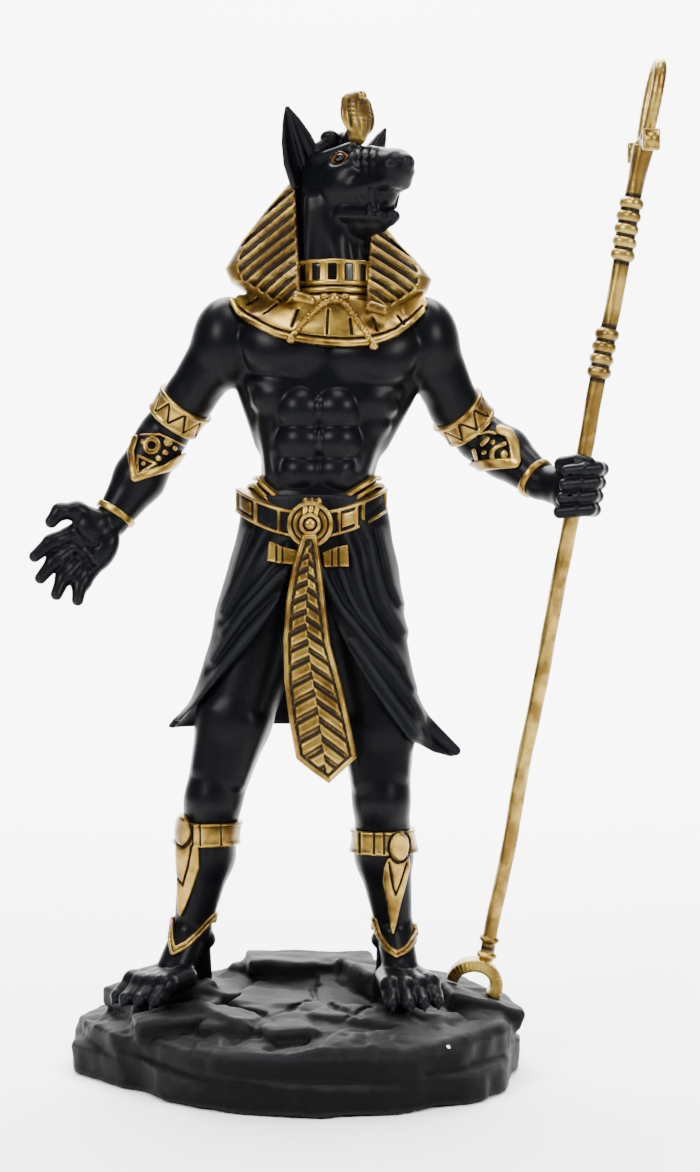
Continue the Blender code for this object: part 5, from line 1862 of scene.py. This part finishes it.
@dataclass
class Apron:
    """The long stiff apron with its raised border and plaited strips."""

    finishes: Finishes
    outline: tuple[Pair, ...] = (
        (302, 533), (317, 533), (321, 565), (325, 600), (330, 642), (341, 683), (350, 722), (357, 757),
        (343, 770), (329, 783), (312, 771), (296, 758), (289, 720), (284, 680), (283, 640), (286, 600),
        (292, 566))
    spine: tuple[Pair, ...] = ((310, 533), (308, 570), (306, 620), (310, 660), (318, 710), (328, 783))
    border: float = 1.75
    # A strip's height at the apron's foot, how much it loses per millimetre up, and each side's slope
    pitch: float = 6.6
    narrowing: float = 0.034
    slopes: Pair = (0.085, 0.135)

    def face(self, z: Array) -> Array:
        """The y of the apron's front at each height."""
        return np.interp(z, (73.0, 81.0, 96.0, 119.0, 143.0, 156.0),
                         (-26.4, -26.5, -26.0, -24.8, -23.2, -22.4)).astype(np.float32)

    def build(self) -> None:
        """Make the plate, border and plait."""
        clay = Clay((-8, -30, 68), (24, -14, 160), Grain.FINE)
        x, y, z = clay.grids()
        plane = Plane(clay, -25.0)
        area = plane.polygon(self.outline)
        front = self.face(z)
        back = front + np.where(z > 118.0, 6.0, 3.4)
        centre = np.interp(z, *self.spine_rows()).astype(np.float32)
        beside = x - centre
        phase = -np.log(self.pitch - self.narrowing * (z - 75.0)) / self.narrowing
        left = (phase - self.slopes[0] * beside) % 1.0
        right = (phase + 0.5 + self.slopes[1] * beside) % 1.0
        strip = np.where(beside < 0.0, left, right)
        swell = np.abs(strip - 0.5) * 2.0
        ridge = 1.0 * (1.0 - np.clip((swell - 0.40) / 0.34, 0.0, 1.0)) - 0.30 * strip
        seam = np.clip(np.abs(beside) / 0.3, 0.0, 1.0)
        inner = np.clip(-(area + 2.3) / 0.4, 0.0, 1.0)
        relief = inner * ridge * (0.45 + 0.55 * seam)
        rim = 1.0 * np.clip(1.0 - np.abs(area + 0.9) / 1.0, 0.0, 1.0) ** 0.5
        height = np.where(area > -self.border, rim, relief)
        plate = soft_max(front + 1.0 - height - y, y - back, 0.3)
        clay.lay(soft_max(plate, area, 0.5))
        cast(clay, "apron", self.finishes.washed_gold, 0.7)

    def spine_rows(self) -> tuple[list[float], list[float]]:
        """The heights and x places of the line that the strips meet on, lowest first."""
        rows = sorted((high, across) for across, high in seen_row(self.spine, -25.0))
        return [high for high, _ in rows], [across for _, across in rows]


@dataclass
class Kilt:
    """The draped black kilt, parted at the front, whose folds sweep out to a point at each side."""

    body: Body
    finishes: Finishes
    bulk: Stack = Stack((
        (166, 5.6, 24.0, 1.5, 16.6), (158, 5.9, 25.2, 1.3, 17.4), (143, 5.4, 27.6, 1.0, 18.7),
        (128, 3.7, 30.0, 1.0, 19.3), (118, 3.2, 30.2, 1.2, 19.6), (108, 2.1, 32.6, 2.0, 20.2),
        (98, 1.4, 35.4, 2.5, 20.8), (90, 1.2, 38.2, 3.0, 20.8), (78, 1.2, 39.6, 3.0, 20.8)))
    thickness: float = 2.4
    parting: tuple[Pair, ...] = (
        (298, 548), (318, 574), (328, 600), (338, 628), (350, 651), (370, 685), (392, 717), (410, 741),
        (436, 758), (462, 762), (520, 900), (60, 900), (150, 726), (176, 724), (198, 702), (224, 672),
        (252, 640), (278, 603))
    folds: tuple[tuple[float, float, tuple[Pair, ...]], ...] = (
        # height, half width and course of each ridge; a height below zero is a valley
        (1.7, 1.9, ((318, 560), (330, 588), (342, 608), (357, 626), (375, 648), (396, 672), (412, 696),
                    (430, 724), (452, 750))),
        (1.3, 1.5, ((340, 566), (348, 592), (359, 614), (375, 632), (392, 652), (406, 676))),
        (1.6, 1.7, ((347, 536), (354, 556), (360, 582), (370, 607), (384, 634), (400, 660), (414, 690))),
        (1.6, 1.8, ((364, 524), (371, 540), (376, 566), (384, 596), (396, 617), (406, 632))),
        (1.3, 1.6, ((381, 530), (387, 556), (393, 584), (402, 604))),
        (1.2, 1.5, ((352, 640), (372, 668), (392, 696), (414, 726), (432, 744))),
        (0.9, 1.2, ((338, 628), (350, 652), (370, 686), (392, 718), (411, 742))),
        (-0.9, 1.3, ((333, 574), (346, 602), (362, 622), (382, 646), (402, 668))),
        (-0.8, 1.2, ((365, 556), (368, 584), (378, 612), (394, 638))),
        (1.5, 1.9, ((267, 526), (255, 548), (245, 566), (232, 590), (220, 612))),
        (1.3, 1.6, ((287, 546), (272, 564), (256, 584), (238, 606), (222, 634))),
        (1.7, 2.0, ((288, 570), (279, 575), (262, 592), (245, 610), (228, 634), (212, 660))),
        (1.5, 1.8, ((286, 596), (268, 614), (248, 634), (228, 656), (210, 682), (192, 708), (172, 724))),
        (1.3, 1.5, ((270, 622), (252, 644), (240, 659), (222, 680), (202, 701), (182, 720))),
        (1.3, 1.6, ((246, 530), (238, 556), (230, 584), (220, 606))),
        (-0.8, 1.2, ((276, 556), (258, 578), (240, 598), (224, 624))),
        (-0.9, 1.3, ((284, 586), (264, 604), (244, 624), (226, 648), (208, 674))),
    )

    def rule(self, x: Array, y: Array, z: Array) -> Array:
        """How far each point is outside the closed cloth, pleated behind and smooth in front."""
        middle_x, half_width, middle_y, half_depth = self.bulk.sizes(z)
        angle = np.arctan2((y - middle_y) / half_depth, (x - middle_x) / half_width)
        share = np.clip((166.0 - z) / 76.0, 0.0, 1.15)
        spread = math.radians(17)
        right = np.exp(-(angle / spread) ** 2)
        left = np.exp(-(((angle + math.tau) % math.tau - math.pi) / spread) ** 2)
        flare = (13.0 * right * np.clip((97.0 - z) / 19.0, 0.0, 1.0) ** 1.3
                 + 6.0 * left * np.clip((99.0 - z) / 9.0, 0.0, 1.0) ** 1.2)
        behind = np.clip(0.10 + np.sin(angle) * 1.3, 0.0, 1.0)
        lean = angle + 0.30 * share * np.cos(angle)
        pleat = np.abs(np.sin(7.5 * lean)) ** 0.8 * 0.75 + 0.25 * np.abs(np.sin(17.0 * lean + 1.0))
        swell = flare + (0.5 + 2.7 * share) * behind * (pleat - 0.5)
        across, along = (x - middle_x) / (half_width + swell), (y - middle_y) / (half_depth + swell)
        near = np.sqrt(across ** 2 + along ** 2)
        steep = np.sqrt((across / (half_width + swell)) ** 2 + (along / (half_depth + swell)) ** 2)
        return near * (near - 1.0) / np.maximum(steep, 1e-4)

    def build(self) -> None:
        """Make the cloth: draped over the thighs, folded, hollowed and parted."""
        low, high = (-52, -30, 76), (62, 30, 168)
        clay = Clay(low, high, Grain.BODY)
        x, y, z = clay.grids()
        legs = Clay(low, high, Grain.BODY)
        for side in Side:
            self.body.shape_leg(legs, side)
        cloth = soft_min(self.rule(x, y, z), legs.distance - 2.0, 5.0)
        plane = Plane(clay, -17.0)
        lift: Array = np.float32(0.0)
        for height, width, path in self.folds:
            bump = height * np.exp(-(plane.stroke(path, 0.0) / width) ** 2)
            lift = np.maximum(lift, bump) if height > 0.0 else lift + bump
        lift = lift * np.clip((8.0 - y) / 5.0, 0.0, 1.0)
        clay.distance = (cloth - lift).astype(np.float32)
        hem = 89.0 - 9.5 * np.exp(-((x - 52.0) / 16.0) ** 2)
        clay.keep(hem - z, 1.0)
        clay.keep(z - 166.5, 0.8)
        clay.keep(-np.maximum(cloth + self.thickness, z - 150.0), 0.6)
        plane = Plane(clay, -18.0)
        clay.keep(-np.maximum(plane.polygon(self.parting), y - 1.0), 1.6)
        clay.add(Limb(seen(418, 718, -4.0), seen(456, 750, 1.0), 3.4, 1.7), 2.0)
        cast(clay, "kilt", self.finishes.cloth, 1.6)


# The rock and the staff


@dataclass
class Rock:
    """The rock that the figure stands on, in broken strata."""

    finishes: Finishes
    width: float = 150.0
    depth: float = 130.0
    height: float = 24.0
    melt: float = 3.0

    def edge(self, angle: Array, share: Array) -> Array:
        """How far the outline reaches at each angle and share of the height, where 1 is the oval."""
        power = 2.25
        oval = (np.abs(np.cos(angle)) ** power + np.abs(np.sin(angle)) ** power) ** (-1 / power)
        turn = (angle - math.radians(219) + math.pi) % math.tau - math.pi
        bite = 0.17 * np.exp(-(turn / math.radians(27)) ** 2)
        upper = 1.0 / (1.0 + np.exp(-(share - 0.42) / 0.02))
        broken = (0.020 * np.sin(3 * angle - 0.9 + 0.5 * upper)
                  + 0.012 * np.sin(8 * angle + 0.6 + 3.0 * upper) + 0.008 * np.sin(17 * angle + 2.4))
        shoulder = 0.30 * np.maximum(0.0, share - 0.72)
        return oval * (1.0 - 0.02 * upper + broken) * (1.0 - shoulder - bite)

    def body(self, x: Array, y: Array, z: Array) -> Array:
        """How far each point is outside the layered block."""
        above = z + LEDGE
        share = np.clip(above / self.height, 0.0, 1.0)
        across, along = x / (self.width / 2), y / (self.depth / 2)
        angle = np.arctan2(along, across)
        reach = self.edge(angle, share)
        roundness = np.sqrt(across ** 2 + along ** 2)
        rough = mesh_noise(x, y, z * 1.1, 12.0, 3) * 0.8 + mesh_noise(x, y, z * 1.2, 5.0, 4) * 0.2
        wall = (roundness / reach - 1.0) * 60.0 * reach + rough
        slope = mesh_noise(x, y, 0.0 * z, 17.0, 7) * 1.6 + 0.030 * x - 0.012 * y
        layer = slope + mesh_noise(x, y, 0.0 * z, 6.5, 8) * 0.6
        pitch = 1.5
        terraces = pitch * (np.floor(layer / pitch) + np.clip((layer / pitch % 1.0) * 4.0 - 3.0, 0.0, 1.0))
        rise = 9.0 * np.exp(-((y - 33.0) / 19.0) ** 2 - ((x - 2.0) / 40.0) ** 4)
        top = above - (20.6 + rise + 1.0 * terraces - 10.0 * np.maximum(0.0, roundness / reach - 0.80))
        top = top + 0.18 * mesh_noise(x, y, z, 2.2, 9)
        return soft_max(soft_max(wall, top, 1.6), -above, 0.3)

    def slab(self, clay: Clay, place: Triple, size: Triple, turn_degrees: float, tilt_degrees: float) -> None:
        """Press on a flat broken slab.

        Args:
            clay: what it is pressed on.
            place: its middle, in shares of half the rock's width and depth and of its height.
            size: its width, depth and thickness, in shares of the rock's.
            turn_degrees: how far it is turned about the upright.
            tilt_degrees: how far it leans down along its length.
        """
        (x, y, z), (width, depth, thick) = place, size
        turn, tilt = math.radians(turn_degrees), math.radians(tilt_degrees)
        level = math.cos(tilt)
        forward = np.array([math.cos(turn) * level, math.sin(turn) * level, -math.sin(tilt)])
        sideways = np.array([-math.sin(turn), math.cos(turn), 0.0])
        up = np.cross(forward, sideways)
        halves = (width * self.width / 2, depth * self.depth / 2, thick * self.height / 2)
        middle = (self.width / 2 * x, self.depth / 2 * y, self.height * z - LEDGE)
        clay.add(Block(middle, halves, (tuple(forward), tuple(sideways), tuple(up)), 1.8), self.melt)

    def build(self) -> None:
        """Make the rock and the chip in its paint."""
        clay = Clay((-82, -70, -25.2), (82, 70, 14), Grain.BROAD)
        clay.add(Rule((-80, -69, -25), (80, 69, 3), self.body), 0.0)
        draw = np.random.default_rng(11)
        slabs = 15
        for index in range(slabs):
            angle = math.tau * index / slabs
            reach = draw.uniform(0.50, 0.68)
            place = (reach * math.cos(angle), reach * math.sin(angle), draw.uniform(0.78, 0.86))
            size = (draw.uniform(0.15, 0.22), draw.uniform(0.12, 0.18), 0.28)
            self.slab(clay, place, size, math.degrees(angle) + draw.uniform(-30, 30), draw.uniform(2, 8))
        for place, size, turn, tilt in (
            ((0.05, 0.52, 1.17), (0.30, 0.18, 0.24), 6, 3),
            ((-0.62, 0.10, 0.98), (0.20, 0.24, 0.30), 30, -8),
            ((0.52, 0.28, 0.98), (0.30, 0.26, 0.36), 20, 12),
            ((0.80, 0.10, 0.86), (0.18, 0.26, 0.30), 10, 18),
            ((0.05, -0.05, 0.90), (0.30, 0.26, 0.22), -12, 5),
            ((-0.16, -0.34, 0.86), (0.22, 0.20, 0.20), 35, 6),
            ((0.34, -0.42, 0.86), (0.26, 0.16, 0.20), -20, 5),
            ((-0.30, 0.16, 0.92), (0.24, 0.20, 0.26), 15, 8),
        ):
            self.slab(clay, place, size, turn, tilt)
        for crack in (((312, 985), (315, 997), (334, 1006), (360, 1017)),
                      ((309, 1001), (283, 1011), (251, 1021)), ((305, 1019), (322, 1024), (340, 1034)),
                      ((220, 1004), (262, 1012), (281, 1026)), ((372, 1006), (345, 1018), (330, 1034))):
            clay.groove([seen_on_ledge(*pixel) for pixel in crack], 0.8, 1.4)
        x, y, z = clay.grids()
        rolling = 0.8 * mesh_noise(x, y, z * 0.8, 11.0, 22) + 0.35 * mesh_noise(x, y, z, 5.0, 23)
        fine = rolling + 0.06 * mesh_noise(x, y, z, 1.6, 21)
        clay.distance = (clay.distance + fine).astype(np.float32)
        clay.keep(-(z + LEDGE), 0.2)
        cast(clay, "rock", self.finishes.rock, 1.6)
        for y in np.arange(-68.0, -20.0, 0.25):
            spot = seen(448, 1048, float(y))
            if clay.distance[clay.nearest(spot)] <= 0.0:
                break
        chip = Clay(shift(spot, -3, -3, -3), shift(spot, 3, 3, 3), Grain.JEWEL)
        chip.add(Ball(shift(spot, 0.0, -0.2, 0.2), (0.8, 0.6, 0.8)), 0.0)
        chip.add(Ball(shift(spot, -0.6, -0.1, -0.5), (0.5, 0.5, 0.5)), 0.2)
        cast(chip, "paint_chip", self.finishes.chip, 0.3)


@dataclass
class Staff:
    """The gold ankh staff."""

    pose: Pose
    finishes: Finishes
    radius: float = 2.4
    bead_radius: float = 4.0
    sides: int = 40

    def build(self) -> None:
        """Make the shaft, the ankh and the forked foot."""
        self.build_shaft()
        self.build_ankh()
        self.build_fork()

    def profile(self) -> list[Pair]:
        """The shaft's radius at each share of its length."""
        length = float(np.linalg.norm(np.subtract(self.pose.staff_top, self.pose.staff_foot)))
        shares = np.linspace(0.0, 0.905, 760)
        radii = self.radius + 0.4 * shares
        for middle, half, count in ((0.682, 0.0205, 4), (0.816, 0.0275, 5)):
            core = np.clip((half + 0.002 - np.abs(shares - middle)) / 0.003, 0.0, 1.0)
            radii = np.maximum(radii, core * (self.bead_radius - 0.75))
            for step in range(count):
                centre = middle + half * (2 * step / (count - 1) - 1)
                off = (shares - centre) * length
                bead = np.sqrt(np.maximum(0.0, 1.0 - np.abs(off / 2.45) ** 2.6)) * self.bead_radius
                radii = np.maximum(radii, bead)
        for share in (0.006, 0.024):
            off = (shares - share) * length
            radii = np.maximum(radii, np.sqrt(np.maximum(0.0, 1.0 - (off / 1.5) ** 2)) * (self.radius + 1.0))
        flare = np.clip((shares - 0.868) / 0.037, 0.0, 1.0)
        radii = radii + 0.7 * flare
        return list(zip(shares.tolist(), radii.tolist()))

    def build_shaft(self) -> None:
        """Make the turned shaft with its bead nodes, a little uneven as cast by hand."""
        rise = unit(np.subtract(self.pose.staff_top, self.pose.staff_foot))
        across = unit(np.cross(rise, (0.0, 1.0, 0.0)))
        ahead = np.cross(rise, across)
        angles = np.linspace(0.0, math.tau, self.sides, endpoint=False)
        rings = []
        for share, radius in self.profile():
            middle = np.asarray(self.pose.along_staff(share))
            middle = middle + 0.22 * math.sin(31.0 * share + 0.6) * across
            wobble = (1.0 + 0.035 * np.sin(3.0 * angles + 40.0 * share)
                      + 0.02 * np.sin(5.0 * angles - 97.0 * share))
            rings.append(middle + (np.cos(angles)[:, None] * across + np.sin(angles)[:, None] * ahead)
                         * (radius * wobble)[:, None])
        points = (np.concatenate(rings) + np.array([0.0, 0.0, LEDGE])) * MM
        faces = []
        for row in range(len(rings) - 1):
            for index in range(self.sides):
                here, after = row * self.sides + index, row * self.sides + (index + 1) % self.sides
                faces.append((here, after, after + self.sides, here + self.sides))
        last = (len(rings) - 1) * self.sides
        faces.append(tuple(range(self.sides))[::-1])
        faces.append(tuple(range(last, last + self.sides)))
        mesh = bpy.data.meshes.new("staff_shaft")
        mesh.from_pydata(points.tolist(), [], faces)
        mesh.shade_smooth()
        row = np.asarray([radius for _, radius in self.profile()])
        for label, reach in (("hollow", 9), ("broad_hollow", 21)):
            window = 2 * reach + 1
            mean = np.convolve(np.pad(row, reach, mode="edge"), np.ones(window) / window, "valid")
            proud = np.repeat(0.16 + 0.9 * (row - mean), self.sides)
            layer = mesh.attributes.new(label, "FLOAT", "POINT")
            layer.data.foreach_set("value", proud.astype(np.float32))
        piece = bpy.data.objects.new("staff_shaft", mesh)
        bpy.context.scene.collection.objects.link(piece)
        dress(piece, self.finishes.staff_gold, STAFF)

    def build_ankh(self) -> None:
        """Make the crossbar with its flared ends and the loop above it."""
        clay = Clay((88, -42, 264), (126, -4, 309), Grain.FINE)
        swing = math.radians(5)
        bar_way = np.array([math.sin(swing), -math.cos(swing), 0.0])
        side_way = (math.cos(swing), math.sin(swing), 0.0)
        middle = np.asarray(self.pose.along_staff(0.905))
        clay.add(Limb(self.pose.along_staff(0.88), tuple(middle), 2.9, 3.1), 0.4)
        for side in (-1, 1):
            end = middle + bar_way * side * 11.0
            clay.add(Limb(tuple(middle), tuple(end), 2.0, 2.3), 0.8)
            clay.add(Block(tuple(end), (2.75, 1.3, 3.45), (side_way, tuple(bar_way), (0, 0, 1)), 0.6), 0.8)
        rise = unit(np.subtract(self.pose.staff_top, self.pose.staff_foot))
        height = float(np.linalg.norm(np.subtract(self.pose.along_staff(1.0), middle))) - 2.5
        steps = 28
        ring = []
        for step in range(steps + 1):
            angle = math.tau * step / steps
            lift = height * (1 - math.cos(angle)) / 2
            swell = 6.4 * math.sin(angle) * (0.62 + 0.38 * lift / height)
            ring.append((tuple(middle + rise * lift + bar_way * swell), 2.05))
        clay.chain(ring, 0.3)
        cast(clay, "ankh", self.finishes.staff_gold, 1.0, STAFF)

    def build_fork(self) -> None:
        """Make the bent forked band that straddles the rock."""
        middle = shift(self.pose.staff_foot, x=-4.0, z=-7.6)
        first_angle, last_angle = math.radians(-38), math.radians(168)
        clay = Clay((48, -4, -8), (76, 20, 16), Grain.JEWEL)
        steps = 20

        def point(share: float) -> Array:
            """A point on the band's middle line."""
            angle = first_angle + (last_angle - first_angle) * share
            return np.asarray(shift(middle, 7.3 * math.cos(angle), 3.5 * share - 2.0, 6.2 * math.sin(angle)))

        for step in range(steps):
            start, end = point(step / steps), point((step + 1) / steps)
            along = unit(end - start)
            across = unit(np.cross(along, (0.0, 1.0, 0.0)))
            share = (step + 0.5) / steps
            half_width = 4.0 - 2.4 * max(0.0, share - 0.72) / 0.28
            halves = (float(np.linalg.norm(end - start)) / 2 + 0.8, half_width, 2.0)
            turn = (tuple(along), (0.0, 1.0, 0.0), tuple(across))
            clay.add(Block(tuple((start + end) / 2), halves, turn, 0.5), 0.3)
        cast(clay, "staff_fork", self.finishes.staff_gold, 1.0, STAFF)


# The studio


@dataclass
class Studio:
    """The plain pale sweep, the soft lights and the photograph's camera."""

    air: float = 0.10
    figure_aim: Triple = (0.015, 0.0, 0.17)
    sweep_aim: Triple = (0.0, 1.7, 0.3)

    def build(self) -> None:
        """Set up everything around the statue."""
        self.build_sweep()
        self.build_lights()
        self.build_camera()

    def build_sweep(self) -> None:
        """Make a pale floor that curves up behind the statue."""
        profile = [(-3.0, 0.0), (1.0, 0.0)]
        for step in range(1, 13):
            angle = math.radians(90.0 * step / 12)
            profile.append((1.0 + 0.8 * math.sin(angle), 0.8 * (1 - math.cos(angle))))
        profile.append((1.8, 4.0))
        points = [(x, y, z - 0.0004) for y, z in profile for x in (-4.0, 4.0)]
        faces = [(2 * row, 2 * row + 1, 2 * row + 3, 2 * row + 2) for row in range(len(profile) - 1)]
        mesh = bpy.data.meshes.new("sweep")
        mesh.from_pydata(points, [], faces)
        mesh.shade_smooth()
        sweep = bpy.data.objects.new("sweep", mesh)
        bpy.context.scene.collection.objects.link(sweep)
        paper = bpy.data.materials.new("pale_paper")
        paper.use_nodes = True
        shader = paper.node_tree.nodes["Principled BSDF"]
        shader.inputs["Base Color"].default_value = (0.90, 0.90, 0.90, 1.0)
        shader.inputs["Roughness"].default_value = 0.9
        mesh.materials.append(paper)

    def build_lights(self) -> None:
        """Place the soft lights and the weak light from all around."""
        world = bpy.data.worlds.new("studio_air")
        world.use_nodes = True
        background = world.node_tree.nodes["Background"]
        background.inputs["Color"].default_value = (1.0, 1.0, 1.0, 1.0)
        background.inputs["Strength"].default_value = self.air
        bpy.context.scene.world = world
        for name, place, aim, size, power in (
            ("left_box", (-0.75, -0.95, 0.75), self.figure_aim, 0.42, 24.0),
            ("right_box", (0.85, -0.85, 0.65), self.figure_aim, 0.38, 19.0),
            ("top_box", (0.05, -0.35, 1.25), self.figure_aim, 0.50, 17.0),
            ("sweep_box", (0.0, 0.95, 1.70), self.sweep_aim, 1.60, 260.0),
        ):
            lamp = bpy.data.lights.new(name, "AREA")
            lamp.shape = "SQUARE"
            lamp.size = size
            lamp.energy = power
            light = bpy.data.objects.new(name, lamp)
            light.location = place
            light.rotation_euler = (Vector(aim) - light.location).to_track_quat("-Z", "Y").to_euler()
            bpy.context.scene.collection.objects.link(light)

    def build_camera(self) -> None:
        """Place the camera at the photograph's view."""
        lens = bpy.data.cameras.new("photo_camera")
        lens.lens = CAMERA_LENS
        lens.sensor_width = CAMERA_SENSOR
        lens.clip_start = 0.01
        camera = bpy.data.objects.new("photo_camera", lens)
        camera.location = tuple(value * MM for value in CAMERA_PLACE)
        camera.rotation_euler = (math.pi / 2 + CAMERA_TILT, 0.0, 0.0)
        bpy.context.scene.collection.objects.link(camera)
        bpy.context.scene.camera = camera


def main() -> None:
    """Build the statue piece by piece and set up the studio."""
    finishes = Finishes()
    pose = Pose()
    body = Body(pose)
    Studio().build()
    Flesh(body, finishes).build()
    Head(finishes).build()
    ArmGold(body, finishes).build()
    LegGold(body, finishes).build()
    Headdress(finishes).build()
    Collar(body, finishes).build()
    Belt(body, finishes).build()
    Apron(finishes).build()
    Kilt(body, finishes).build()
    Rock(finishes).build()
    Staff(pose, finishes).build()
    bpy.context.view_layer.update()


if __name__ == "__main__":
    main()
